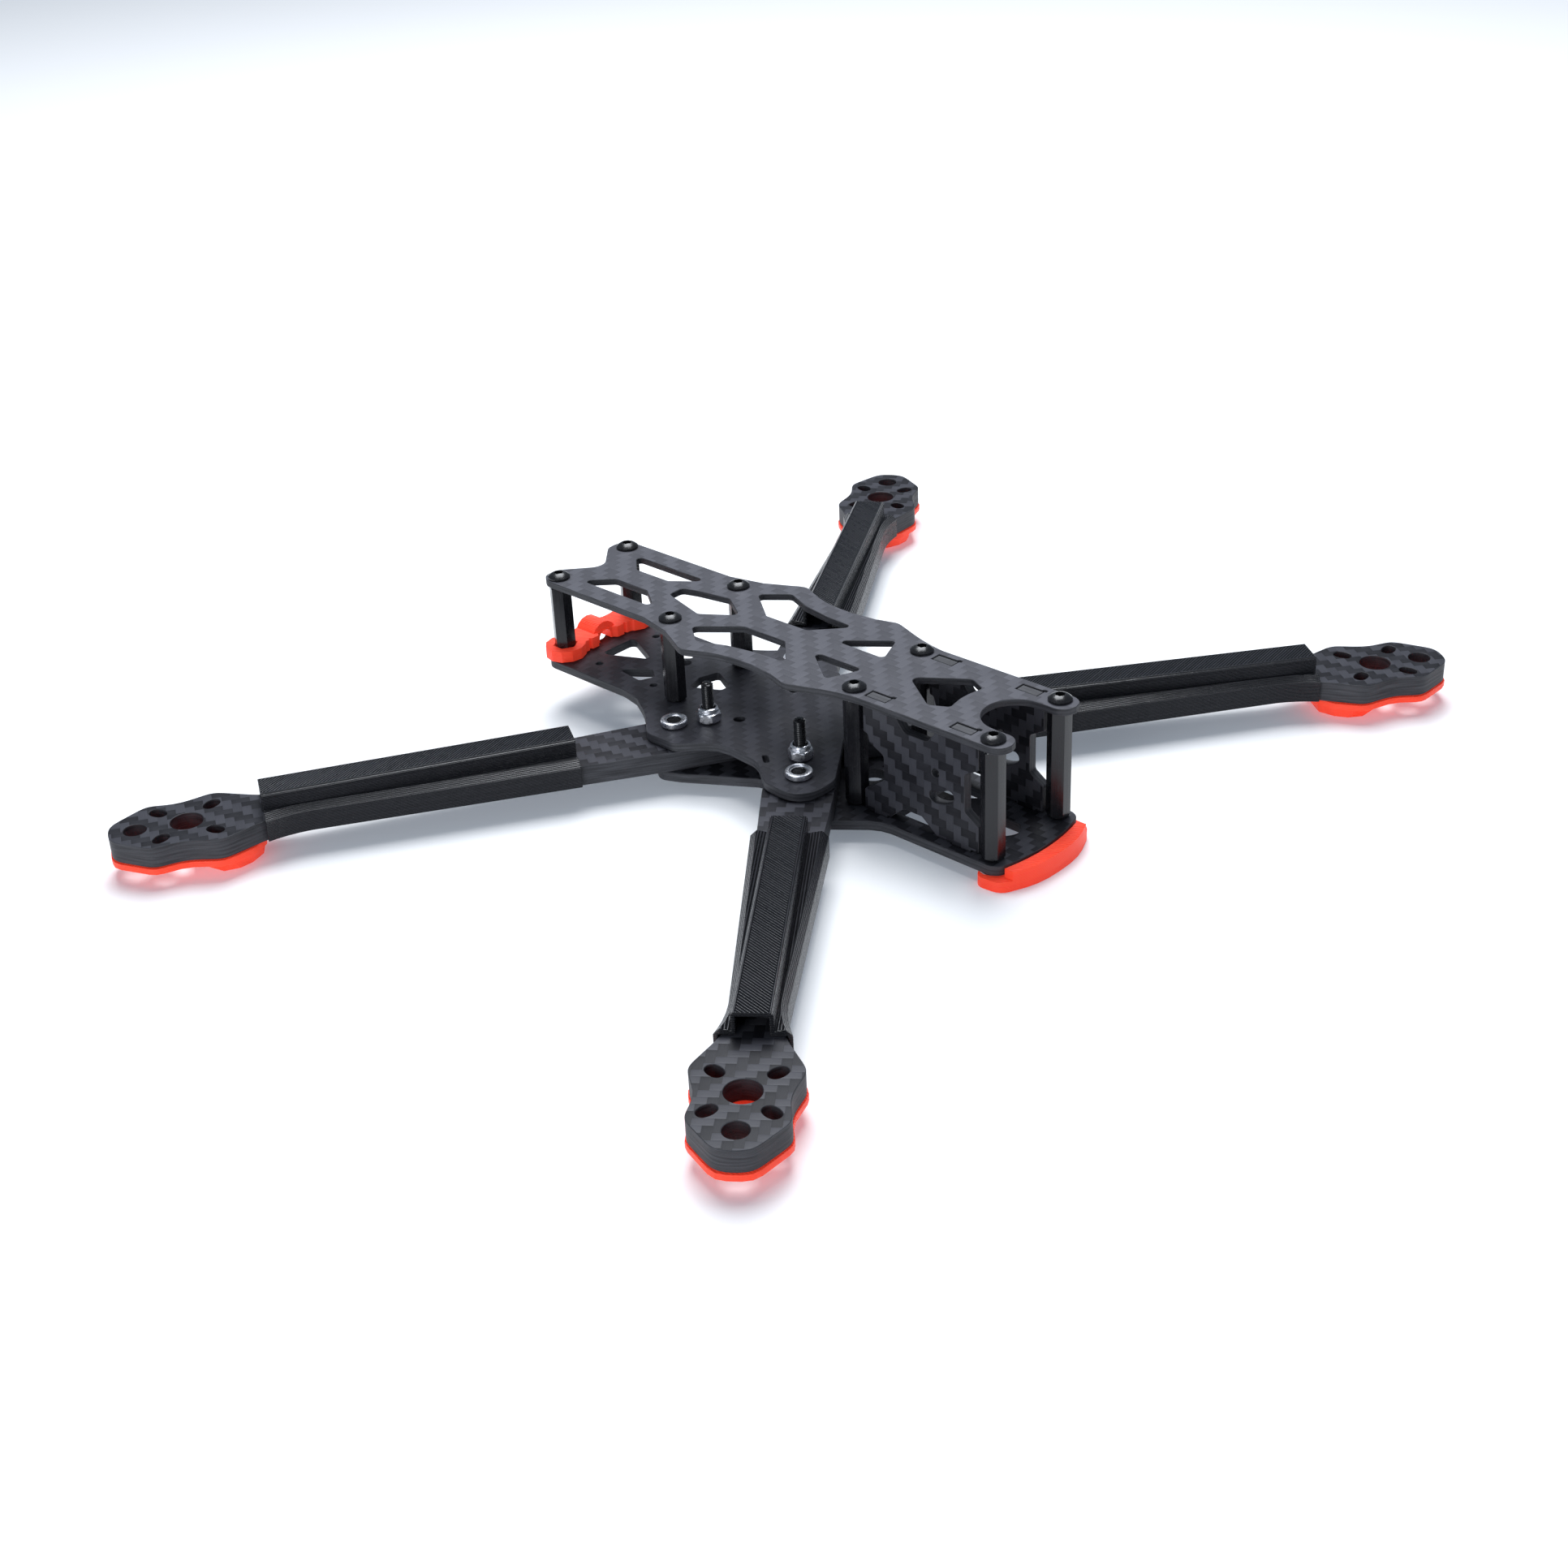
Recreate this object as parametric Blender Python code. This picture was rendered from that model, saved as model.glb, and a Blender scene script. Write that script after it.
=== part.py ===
"""Seven inch class carbon fibre quadcopter frame kit, bare of motors and electronics.

Three carbon plates, four clamped arms, two camera side plates, hexagonal standoffs, screws and nuts,
printed wire guards on the arms, printed pads under the motor seats, a printed antenna holder and a
printed nose bumper.

Design frame, in millimetres: +X forward, +Y left, z = 0 on the arms' top face and x = 0 at the middle
of the electronics stack. Every object hangs from the empty "stack_centre", which puts the middle of
the part's footprint at the world origin and its lowest face at z = 0.
"""

import math

import bmesh
import bpy
from mathutils import Vector
from mathutils.geometry import tessellate_polygon

MM = 0.001

# Clearances
GAP = 0.3
SCREW_FIT = 0.3
SLOT_FIT = 0.3

# Motor positions and arm axes
FRONT_MOTOR_X = 92.24
FRONT_MOTOR_Y = 115.82
REAR_MOTOR_X = -79.68
REAR_MOTOR_Y = 123.91
FRONT_AXIS_X = 4.0
REAR_AXIS_X = -6.7

# Layer thicknesses, bottom to top
BOTTOM_PLATE_T = 2.5
ARM_T = 5.5
MIDDLE_PLATE_T = 2.5
TOP_PLATE_T = 2.0
SIDE_PLATE_T = 2.5
REAR_STANDOFF_LENGTH = 20.0

# Arms
ARM_ROOT_HALF_WIDTH = 8.4
ARM_NECK_HALF_WIDTH = 4.8
ARM_ROOT_U = -112.0
ARM_NECK_U = -28.0
ARM_FLARE_END_U = -16.0
ARM_FLARE_RATE = 0.0172
ARM_SPLIT_X = -1.0
MOTOR_BORE_R = 3.9
MOTOR_SLOT_INNER = 8.0
MOTOR_SLOT_OUTER = 9.5
MOTOR_SLOT_R = 1.6
TIP_HOLE_U = 11.8
TIP_HOLE_R = 2.75

# Fasteners
SCREW_R = 1.5
BUTTON_HEAD_R = SCREW_R + 1.35
BUTTON_HEAD_H = 1.65
SOCKET_ACROSS_FLATS = 2.0
SOCKET_DEPTH = 0.9
PLATE_SCREW_LENGTH = 8.0
STANDOFF_ACROSS_FLATS = 5.0
NUT_ACROSS_FLATS = 2.0 * (SCREW_R + 1.25)
NUT_HEX_H = 2.6
NUT_H = 4.0
PRESS_NUT_R = SCREW_R + 1.8
PRESS_NUT_STEM_R = SCREW_R + 0.8
PRESS_NUT_H = 1.7
STACK_HALF_PITCH = 15.25
STACK_SCREW_TIP_Z = 13.0
FRONT_CLAMP = (20.9, 22.1)
REAR_CLAMP = (-20.5, 22.1)
SMALL_STACK_HALF_PITCH = 10.0

# Standoff columns
STANDOFF_Y = 12.1
TOP_SCREW_X = (-70.5, -30.0, 30.1, 70.5)
REAR_COLUMN_X = TOP_SCREW_X[:2]
FRONT_COLUMN_X = TOP_SCREW_X[2:]

# Plates
TOP_HALF_WIDTH = 15.4
TAIL_HALF_WIDTH = 16.7
NOSE_HALF_WIDTH = 15.6
NOSE_FRONT_X = 76.5
SIDE_PLATE_Y = 11.9
SIDE_PLATE_TABS_X = (37.4, 62.2)
TAB_LENGTH = 5.6

# Camera pivot and tilt slot in the side plates
PIVOT_X = 54.8
PIVOT_Z = 11.2
PIVOT_R = 1.1
TILT_SLOT_RADIUS = 6.2
TILT_SLOT_R = 1.5

# Printed wire guards on the arms
FRONT_GUARD_INNER_U = -94.0
REAR_GUARD_INNER_U = -92.2
GUARD_OUTER_U = -17.5
GUARD_WALL = 1.0
GUARD_SKIRT_Z = -ARM_T + 0.5
GUARD_TUNNEL_HALF_WIDTH = 4.3
GUARD_TUNNEL_Z = 5.7

# Printed pads under the motor seats
PAD_T = 1.5
PAD_SKID_Z = -ARM_T - 4.1
PAD_INNER_U = -17.2
PAD_TIP_BEVEL = 1.6
PAD_OVERHANG = 0.2

# Printed nose bumper
BUMPER_TOP_Z = -ARM_T - 0.5
BUMPER_BOTTOM_Z = -ARM_T - BOTTOM_PLATE_T - 3.0
BUMPER_REACH = 3.9
BUMPER_BOW = 3.0
BUMPER_LEAN = 1.6
BUMPER_WALL_HALF_WIDTH = 13.6

# Printed antenna holder
HOLDER_T = 3.0
HOLDER_RING_R = 5.3
HOLDER_TUBE_R = 2.1
HOLDER_TUBE_WALL = 2.2

# Levels that follow from the sizes above
BOTTOM_TOP_Z = -ARM_T
BOTTOM_Z = BOTTOM_TOP_Z - BOTTOM_PLATE_T
MIDDLE_TOP_Z = MIDDLE_PLATE_T
TOP_PLATE_BOTTOM_Z = MIDDLE_TOP_Z + REAR_STANDOFF_LENGTH
TOP_Z = TOP_PLATE_BOTTOM_Z + TOP_PLATE_T
ORIGIN_X = (FRONT_MOTOR_X + REAR_MOTOR_X) / 2.0

MATERIALS = {
    "carbon": ((0.045, 0.046, 0.052), 0.42, 0.0),
    "black_anodised": ((0.012, 0.012, 0.014), 0.35, 0.6),
    "black_steel": ((0.015, 0.015, 0.016), 0.22, 0.8),
    "zinc": ((0.62, 0.63, 0.66), 0.25, 1.0),
    "black_print": ((0.018, 0.018, 0.019), 0.45, 0.0),
    "red_print": ((0.85, 0.06, 0.03), 0.45, 0.0),
}


# ---------------------------------------------------------------- outlines

def turn_between(before, after):
    """Signed angle from one 2D direction to the next."""
    cross = before.x * after.y - before.y * after.x
    return math.atan2(cross, before.dot(after))


def rounded(corners, step_degrees=30.0):
    """Closed outline from (x, y, fillet radius) corners."""
    points = []
    count = len(corners)
    for index, (x, y, radius) in enumerate(corners):
        corner = Vector((x, y))
        before = (corner - Vector(corners[index - 1][:2])).normalized()
        after = (Vector(corners[(index + 1) % count][:2]) - corner).normalized()
        turn = turn_between(before, after)
        if radius <= 0.0 or abs(turn) < math.radians(3.0):
            points.append((x, y))
            continue
        reach = radius * math.tan(abs(turn) / 2.0)
        side = math.copysign(1.0, turn)
        start = corner - before * reach
        normal = Vector((-before.y, before.x)) * side
        centre = start + normal * radius
        pieces = max(1, math.ceil(abs(math.degrees(turn)) / step_degrees))
        for piece in range(pieces + 1):
            angle = turn * piece / pieces
            arm = -normal
            cosine = math.cos(angle)
            sine = math.sin(angle)
            offset = Vector((arm.x * cosine - arm.y * sine, arm.x * sine + arm.y * cosine))
            points.append(tuple(centre + offset * radius))
    return points


def mirrored(half):
    """Corner list closed over the X axis: half runs along y >= 0 and may touch the axis at its ends."""
    other = [(x, -y, radius) for x, y, radius in reversed(half) if y > 0.0]
    return list(half) + other


def flipped(corners):
    """Same corners on the other side of the X axis."""
    return [(x, -y, radius) for x, y, radius in reversed(corners)]


def circle(x, y, radius, sides=12):
    """Polygon drawn around the circle, so that its flats keep the full radius."""
    reach = radius / math.cos(math.pi / sides)
    angles = [2.0 * math.pi * (index + 0.5) / sides for index in range(sides)]
    return [(x + reach * math.cos(angle), y + reach * math.sin(angle)) for angle in angles]


def slot(start, end, radius, sides=4):
    """Round ended slot between two centres."""
    first = Vector(start)
    last = Vector(end)
    heading = math.atan2(last.y - first.y, last.x - first.x)
    points = []
    for centre, base in ((last, heading - math.pi / 2.0), (first, heading + math.pi / 2.0)):
        for index in range(sides + 1):
            angle = base + math.pi * index / sides
            points.append((centre.x + radius * math.cos(angle), centre.y + radius * math.sin(angle)))
    return points


def arc_slot(x, y, path_radius, radius, start_degrees, end_degrees, pieces=4):
    """Slot that follows an arc about (x, y)."""
    points = []
    start = math.radians(start_degrees)
    end = math.radians(end_degrees)
    for index in range(pieces + 1):
        angle = start + (end - start) * index / pieces
        reach = path_radius + radius
        points.append((x + reach * math.cos(angle), y + reach * math.sin(angle)))
    for index in range(1, pieces):
        cap = end + math.pi * index / pieces
        points.append((x + path_radius * math.cos(end) + radius * math.cos(cap),
                       y + path_radius * math.sin(end) + radius * math.sin(cap)))
    for index in range(pieces + 1):
        angle = end + (start - end) * index / pieces
        reach = path_radius - radius
        points.append((x + reach * math.cos(angle), y + reach * math.sin(angle)))
    for index in range(1, pieces):
        cap = start + math.pi + math.pi * index / pieces
        points.append((x + path_radius * math.cos(start) + radius * math.cos(cap),
                       y + path_radius * math.sin(start) + radius * math.sin(cap)))
    return points


def tab_slot(x, y, bite):
    """Tab opening, with a relief bite at its front left corner where bite is set."""
    half_length = TAB_LENGTH / 2.0 + SLOT_FIT
    half_width = SIDE_PLATE_T / 2.0 + SLOT_FIT
    back = [(x - half_length, y + half_width), (x - half_length, y - half_width),
            (x + half_length, y - half_width)]
    if not bite:
        return back + [(x + half_length, y + half_width)]
    return back + [(x + half_length, y + half_width - 0.4), (x + half_length + 0.5, y + half_width - 0.2),
                   (x + half_length + 0.4, y + half_width + 0.5),
                   (x + half_length - 0.5, y + half_width + 0.4), (x + half_length - 0.8, y + half_width)]


# ---------------------------------------------------------------- meshes

def new_object(name, mesh, material, parent, location=(0.0, 0.0, 0.0), turn=0.0):
    """Object in millimetre coordinates of its parent, turned about Z."""
    thing = bpy.data.objects.new(name, mesh)
    bpy.context.scene.collection.objects.link(thing)
    thing.location = [value * MM for value in location]
    thing.rotation_euler = (0.0, 0.0, turn)
    thing.parent = parent
    if not mesh.materials:
        mesh.materials.append(material)
    return thing


def finish_mesh(bm, name, smooth_angle=35.0):
    """Outward faces, metres, smooth round sides with sharp edges kept."""
    bmesh.ops.recalc_face_normals(bm, faces=bm.faces)
    bmesh.ops.scale(bm, vec=(MM, MM, MM), verts=bm.verts)
    mesh = bpy.data.meshes.new(name)
    bm.to_mesh(mesh)
    bm.free()
    mesh.shade_smooth()
    mesh.set_sharp_from_angle(angle=math.radians(smooth_angle))
    return mesh


def slab(name, outline, holes, low, high):
    """Closed plate: an outline with through holes, between two levels."""
    bm = bmesh.new()
    loops = [outline] + list(holes)
    flat = [[Vector((x, y, 0.0)) for x, y in loop] for loop in loops]
    lower = []
    upper = []
    for loop in loops:
        lower.append([bm.verts.new((x, y, low)) for x, y in loop])
        upper.append([bm.verts.new((x, y, high)) for x, y in loop])
    lower_flat = [vert for loop in lower for vert in loop]
    upper_flat = [vert for loop in upper for vert in loop]
    for triangle in tessellate_polygon(flat):
        bm.faces.new([upper_flat[index] for index in triangle])
        bm.faces.new([lower_flat[index] for index in reversed(triangle)])
    for low_loop, high_loop in zip(lower, upper):
        count = len(low_loop)
        for index in range(count):
            after = (index + 1) % count
            bm.faces.new((low_loop[index], low_loop[after], high_loop[after], high_loop[index]))
    return finish_mesh(bm, name)


def loft(name, rings, smooth_angle=35.0):
    """Closed body through rings of equal point counts, capped at both ends."""
    bm = bmesh.new()
    rows = [[bm.verts.new(point) for point in ring] for ring in rings]
    for row, following in zip(rows, rows[1:]):
        count = len(row)
        for index in range(count):
            after = (index + 1) % count
            bm.faces.new((row[index], row[after], following[after], following[index]))
    bm.faces.new(rows[0])
    bm.faces.new(list(reversed(rows[-1])))
    bm.normal_update()
    bmesh.ops.triangulate(bm, faces=[face for face in bm.faces if len(face.verts) > 4])
    return finish_mesh(bm, name, smooth_angle)


def ring(radius, z, sides=12):
    """Horizontal ring of points on a circle."""
    angles = [2.0 * math.pi * index / sides for index in range(sides)]
    return [(radius * math.cos(angle), radius * math.sin(angle), z) for angle in angles]


def hex_ring(across_flats, z, sides=12):
    """Horizontal ring of points on a hexagon, corners included."""
    points = []
    for index in range(sides):
        angle = 2.0 * math.pi * index / sides
        from_flat = (angle + math.pi / 6.0) % (math.pi / 3.0) - math.pi / 6.0
        reach = across_flats / 2.0 / math.cos(math.pi / 6.0 - abs(from_flat))
        points.append((reach * math.cos(angle), reach * math.sin(angle), z))
    return points


def tube_mesh(name, outer, inner):
    """Closed tube: matching outer rings and inner rings, both listed bottom to top."""
    bm = bmesh.new()
    rows = [[bm.verts.new(point) for point in row] for row in outer + list(reversed(inner))]
    count = len(rows[0])
    for row_index, row in enumerate(rows):
        following = rows[(row_index + 1) % len(rows)]
        for index in range(count):
            after = (index + 1) % count
            bm.faces.new((row[index], row[after], following[after], following[index]))
    return finish_mesh(bm, name)


def add_cutter(name, mesh, parent, location=(0.0, 0.0, 0.0), turn=0.0):
    """Helper body for a Boolean, kept out of the model."""
    cutter = new_object(name, mesh, None, parent, location, turn)
    cutter.hide_render = True
    cutter.display_type = "WIRE"
    return cutter


def add_boolean(thing, cutter, operation):
    """Exact Boolean against a helper body."""
    modifier = thing.modifiers.new(operation.lower(), "BOOLEAN")
    modifier.operation = operation
    modifier.object = cutter
    return modifier


# ---------------------------------------------------------------- plates

def top_outline():
    """Top plate: notched tail, waist, two shoulders, round nose notch."""
    half = [(-66.4, 0.0, 4.0), (-74.6, 9.0, 3.0), (-74.6, 13.2, 2.5), (-71.6, TOP_HALF_WIDTH, 3.0),
            (-31.0, TOP_HALF_WIDTH, 22.0), (-19.6, 20.9, 9.0), (-16.2, 22.6, 3.5), (-6.5, 18.5, 16.0),
            (6.5, 17.8, 20.0), (15.6, 20.6, 4.0), (31.5, TOP_HALF_WIDTH, 20.0),
            (75.3, TOP_HALF_WIDTH, 3.6), (75.3, 8.0, 3.6)]
    notch = [(67.5 + 8.0 * math.cos(angle), 8.0 * math.sin(angle), 0.0)
             for angle in [math.pi / 2.0 + math.pi * index / 10.0 for index in range(11)]]
    lower = [(x, -y, radius) for x, y, radius in reversed(half) if y > 0.0]
    return rounded(half + notch + lower)


def top_windows():
    """Lightening windows of the top plate."""
    tail = [(-64.6, 9.7, 1.0), (-58.2, 3.7, 1.4), (-46.8, 3.7, 1.4), (-38.4, 9.7, 1.0)]
    kite = [(-40.6, 2.6, 1.2), (-40.6, -1.8, 1.2), (-26.8, -5.6, 1.6), (-18.2, 0.0, 1.2), (-26.8, 5.6, 1.6),
            (-36.5, 3.9, 2.0)]
    flank = [(-22.9, 11.8, 1.2), (-12.6, 3.9, 1.6), (0.8, 3.9, 1.6), (8.6, 12.1, 1.0), (-1.0, 12.6, 6.0),
             (-8.8, 14.0, 6.0), (-16.2, 16.9, 1.6)]
    wedge = [(9.8, 3.8, 1.0), (25.3, 3.8, 1.0), (21.6, 12.6, 0.9)]
    nose = [(36.6, 0.0, 1.6), (48.6, -8.1, 1.6), (53.2, -5.8, 1.0), (52.2, 0.0, 8.0), (53.2, 5.8, 1.0),
            (48.6, 8.1, 1.6)]
    windows = [rounded(kite), rounded(nose)]
    for corners in (tail, flank, wedge):
        windows.append(rounded(corners))
        windows.append(rounded(flipped(corners)))
    return windows


def build_top_plate(parent, material):
    holes = top_windows()
    for x in TOP_SCREW_X:
        for side in (-1.0, 1.0):
            holes.append(circle(x, side * STANDOFF_Y, SCREW_R + SCREW_FIT))
    for x in SIDE_PLATE_TABS_X:
        for side in (-1.0, 1.0):
            holes.append(tab_slot(x, side * SIDE_PLATE_Y, True))
    mesh = slab("top_plate", top_outline(), holes, TOP_PLATE_BOTTOM_Z + GAP, TOP_Z)
    new_object("top_plate", mesh, material, parent)


def middle_half():
    """Middle plate: tail on the left, ears over the arms, valley between them, open front."""
    return [(15.6, 0.0, 5.0), (28.9, 18.4, 6.0), (28.6, 29.9, 6.2), (16.6, 29.3, 4.5),
            (8.4, 23.0, 9.0), (-5.4, 21.9, 9.0), (-13.6, 29.3, 3.6), (-22.8, 29.2, 3.6),
            (-37.7, TAIL_HALF_WIDTH, 21.0), (-72.8, TAIL_HALF_WIDTH, 4.0), (-75.0, 11.2, 3.5),
            (-74.2, 5.6, 3.0), (-69.2, 0.0, 3.5)]


def clamp_points():
    """Arm clamp screw positions, right side first."""
    points = []
    for x, y in (FRONT_CLAMP, REAR_CLAMP):
        for side in (-1.0, 1.0):
            points.append((x, side * y))
    return points


def stack_points():
    """Electronics stack screw positions."""
    pitch = STACK_HALF_PITCH
    return [(x, y) for x in (-pitch, pitch) for y in (-pitch, pitch)]


def build_middle_plate(parent, material):
    tail_window = [(-63.8, 5.9, 1.2), (-63.8, -5.9, 1.2), (-51.0, 0.0, 1.0)]
    side_window = [(-53.8, 9.5, 0.8), (-46.4, 4.3, 0.8), (-43.2, 6.8, 0.8), (-44.8, 10.5, 0.8)]
    cable_window = [(-33.7, 0.0, 1.5), (-32.0, -5.3, 0.8), (-24.5, -1.4, 1.0), (-24.5, 1.4, 1.0),
                    (-32.0, 5.3, 0.8)]
    holes = [rounded(tail_window), rounded(cable_window), rounded(side_window),
             rounded(flipped(side_window))]
    holes.append(circle(-42.6, 3.9, 1.5, 10))
    pitch = SMALL_STACK_HALF_PITCH
    for x in (-50.0 - pitch, -50.0 + pitch):
        holes += [circle(x, -10.2, 0.95, 8), circle(x, 10.2, 0.95, 8)]
    for x in (-pitch, pitch):
        holes += [circle(x, -pitch, 1.45, 10), circle(x, pitch, 1.45, 10)]
    for side in (-1.0, 1.0):
        holes.append(slot((8.0, side * 20.0), (10.0, side * 21.6), 0.7, 3))
    for x, y in stack_points():
        holes.append(circle(x, y, SCREW_R + SCREW_FIT))
    for x, y in clamp_points():
        holes.append(circle(x, y, PRESS_NUT_STEM_R + SCREW_FIT))
    for x in REAR_COLUMN_X:
        for side in (-1.0, 1.0):
            holes.append(circle(x, side * STANDOFF_Y, SCREW_R + SCREW_FIT))
    outline = rounded(mirrored(middle_half()))
    mesh = slab("middle_plate", outline, holes, GAP, MIDDLE_TOP_Z)
    new_object("middle_plate", mesh, material, parent)


def bottom_half():
    """Bottom plate: bowed nose, straight flanks, ears under the arms, open back."""
    bow = [(NOSE_FRONT_X - 1.9 * (y / 14.0) ** 2, y, 0.0) for y in (0.0, 3.5, 7.0, 10.5)]
    return bow + [(74.3, 14.4, 2.5), (72.3, NOSE_HALF_WIDTH, 2.5), (40.5, NOSE_HALF_WIDTH, 10.0),
                  (30.4, 23.4, 2.0), (27.4, 29.9, 5.0), (16.4, 29.3, 4.0), (6.6, 17.4, 4.0),
                  (-12.4, 28.9, 3.2), (-17.4, 31.0, 3.2), (-31.0, 22.0, 5.0), (-17.0, 0.0, 5.0)]


def build_bottom_plate(parent, material):
    bay_window = [(40.4, 10.0, 0.8), (40.4, 4.3, 0.8), (48.0, 4.3, 0.8), (52.6, 8.2, 0.8), (51.2, 10.0, 0.8)]
    nose_window = [(56.6, 0.0, 0.0), (58.4, -3.4, 1.0), (66.6, -3.4, 2.4), (68.6, 0.0, 2.4),
                   (66.6, 3.4, 2.4), (58.4, 3.4, 1.0)]
    holes = [rounded(bay_window), rounded(flipped(bay_window)), rounded(nose_window),
             circle(24.6, 0.0, 2.9, 12)]
    for x, y in stack_points() + clamp_points():
        holes.append(circle(x, y, SCREW_R + SCREW_FIT))
    for x in FRONT_COLUMN_X:
        for side in (-1.0, 1.0):
            holes.append(circle(x, side * STANDOFF_Y, SCREW_R + SCREW_FIT))
    for x in SIDE_PLATE_TABS_X:
        for side in (-1.0, 1.0):
            holes.append(tab_slot(x, side * SIDE_PLATE_Y, False))
    outline = rounded(mirrored(bottom_half()))
    mesh = slab("bottom_plate", outline, holes, BOTTOM_Z, BOTTOM_TOP_Z)
    new_object("bottom_plate", mesh, material, parent)


def side_plate_outline():
    """Side plate drawn in x and height: four tabs, arches between them, notched ends."""
    low = BOTTOM_TOP_Z + GAP
    high = TOP_PLATE_BOTTOM_Z
    foot = BOTTOM_Z + 0.3
    crown = TOP_Z - 0.15
    back = FRONT_COLUMN_X[0] + 3.3
    front = FRONT_COLUMN_X[1] - 3.3
    half_tab = TAB_LENGTH / 2.0
    rear_tab, front_tab = SIDE_PLATE_TABS_X
    return [(back, low, 0.0), (rear_tab - half_tab, low, 0.0), (rear_tab - half_tab, foot, 0.0),
            (rear_tab + half_tab, foot, 0.0), (rear_tab + half_tab, low, 0.0), (41.2, low, 0.0),
            (45.2, -1.7, 1.0), (50.6, -1.7, 1.0), (55.0, low, 0.0), (front_tab - half_tab, low, 0.0),
            (front_tab - half_tab, foot, 0.0), (front_tab + half_tab, foot, 0.0),
            (front_tab + half_tab, low, 0.0), (front, low, 0.0), (front, 1.4, 0.6), (63.2, 4.0, 1.2),
            (63.2, 13.7, 1.2), (front, 15.9, 0.6), (front, high, 0.0), (front_tab + half_tab, high, 0.0),
            (front_tab + half_tab, crown, 0.0), (front_tab - half_tab, crown, 0.0),
            (front_tab - half_tab, high, 0.0), (55.6, high, 0.0), (52.6, 18.4, 2.0), (45.6, 18.4, 2.0),
            (42.6, high, 0.0), (rear_tab + half_tab, high, 0.0), (rear_tab + half_tab, crown, 0.0),
            (rear_tab - half_tab, crown, 0.0), (rear_tab - half_tab, high, 0.0), (back, high, 0.0),
            (back, 14.8, 0.5), (34.6, 14.6, 0.8), (35.2, 12.4, 0.5), (39.4, 10.3, 1.4),
            (39.4, 4.0, 1.4), (back, -0.3, 0.6)]


def build_side_plates(parent, material):
    outline = rounded(side_plate_outline())
    holes = [circle(PIVOT_X, PIVOT_Z, PIVOT_R, 10),
             arc_slot(PIVOT_X, PIVOT_Z, TILT_SLOT_RADIUS, TILT_SLOT_R, -94.0, -52.0)]
    mesh = slab("side_plate", outline, holes, -SIDE_PLATE_T / 2.0, SIDE_PLATE_T / 2.0)
    for side, label in ((-1.0, "right"), (1.0, "left")):
        plate = new_object("side_plate_" + label, mesh, material, parent, (0.0, side * SIDE_PLATE_Y, 0.0))
        plate.rotation_euler = (math.pi / 2.0, 0.0, 0.0)


# ---------------------------------------------------------------- arms and what they carry

def arm_half_width(u):
    """Half width of the arm at distance u from the motor, negative towards the body."""
    if u <= ARM_ROOT_U:
        return ARM_ROOT_HALF_WIDTH
    if u <= ARM_NECK_U:
        share = (u - ARM_ROOT_U) / (ARM_NECK_U - ARM_ROOT_U)
        return ARM_ROOT_HALF_WIDTH + (ARM_NECK_HALF_WIDTH - ARM_ROOT_HALF_WIDTH) * share
    return ARM_NECK_HALF_WIDTH + ARM_FLARE_RATE * (u - ARM_NECK_U) ** 2


def arm_frame(motor, axis_x):
    """Motor point, outward direction and left hand normal of an arm."""
    origin = Vector(motor)
    along = (origin - Vector((axis_x, 0.0))).normalized()
    return origin, along, Vector((-along.y, along.x))


def root_corner(origin, along, across, side_v, x=None, y=None):
    """Local (u, v) where the arm's edge at side_v reaches the line x or y."""
    start = origin + across * side_v
    if x is not None:
        return (x - start.x) / along.x, side_v
    return (y - start.y) / along.y, side_v


def seat_corners(grow=0.0):
    """Left half of the motor seat, from the neck to the tip."""
    return [(-7.0, 11.9 + grow, 4.5), (1.5, 9.2 + grow, 6.0), (8.7, 10.5 + grow, 4.0),
            (17.9 + grow, 3.6 + grow, 4.6)]


def flare_points():
    """Left edge of the arm between the neck and the motor seat."""
    count = 4
    points = []
    for index in range(count + 1):
        u = ARM_NECK_U + (ARM_FLARE_END_U - ARM_NECK_U) * index / count
        points.append((u, arm_half_width(u), 0.0))
    return points


def seat_holes():
    """Motor bore, four radial screw slots and the tip hole."""
    holes = [circle(0.0, 0.0, MOTOR_BORE_R, 16), circle(TIP_HOLE_U, 0.0, TIP_HOLE_R, 12)]
    for quarter in range(4):
        angle = math.radians(45.0 + 90.0 * quarter)
        heading = Vector((math.cos(angle), math.sin(angle)))
        holes.append(slot(heading * MOTOR_SLOT_INNER, heading * MOTOR_SLOT_OUTER, MOTOR_SLOT_R))
    return holes


def arm_plan(motor, axis_x, clamp):
    """Outline and holes of a right hand arm: motor at the origin, +X outwards."""
    origin, along, across = arm_frame(motor, axis_x)
    is_front = motor[0] > 0.0
    split_x = ARM_SPLIT_X + (GAP / 2.0 if is_front else -GAP / 2.0)
    centre_y = -GAP / 2.0
    outer_v = ARM_ROOT_HALF_WIDTH if is_front else -ARM_ROOT_HALF_WIDTH
    outer = root_corner(origin, along, across, outer_v, y=centre_y)
    inner = root_corner(origin, along, across, -outer_v, x=split_x)
    meeting = Vector((split_x, centre_y)) - origin
    root = [inner, (meeting.dot(along), meeting.dot(across)), outer]
    if not is_front:
        root.reverse()
    left = [(ARM_ROOT_U, ARM_ROOT_HALF_WIDTH, 0.0)] + flare_points() + seat_corners()
    right = [(u, -v, radius) for u, v, radius in reversed(left)]
    outline = rounded(left + right + [(u, v, 0.0) for u, v in root])
    holes = seat_holes()
    for point in (clamp, (math.copysign(STACK_HALF_PITCH, motor[0]), -STACK_HALF_PITCH)):
        offset = Vector(point) - origin
        holes.append(circle(offset.dot(along), offset.dot(across), SCREW_R + SCREW_FIT))
    return outline, holes


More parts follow.
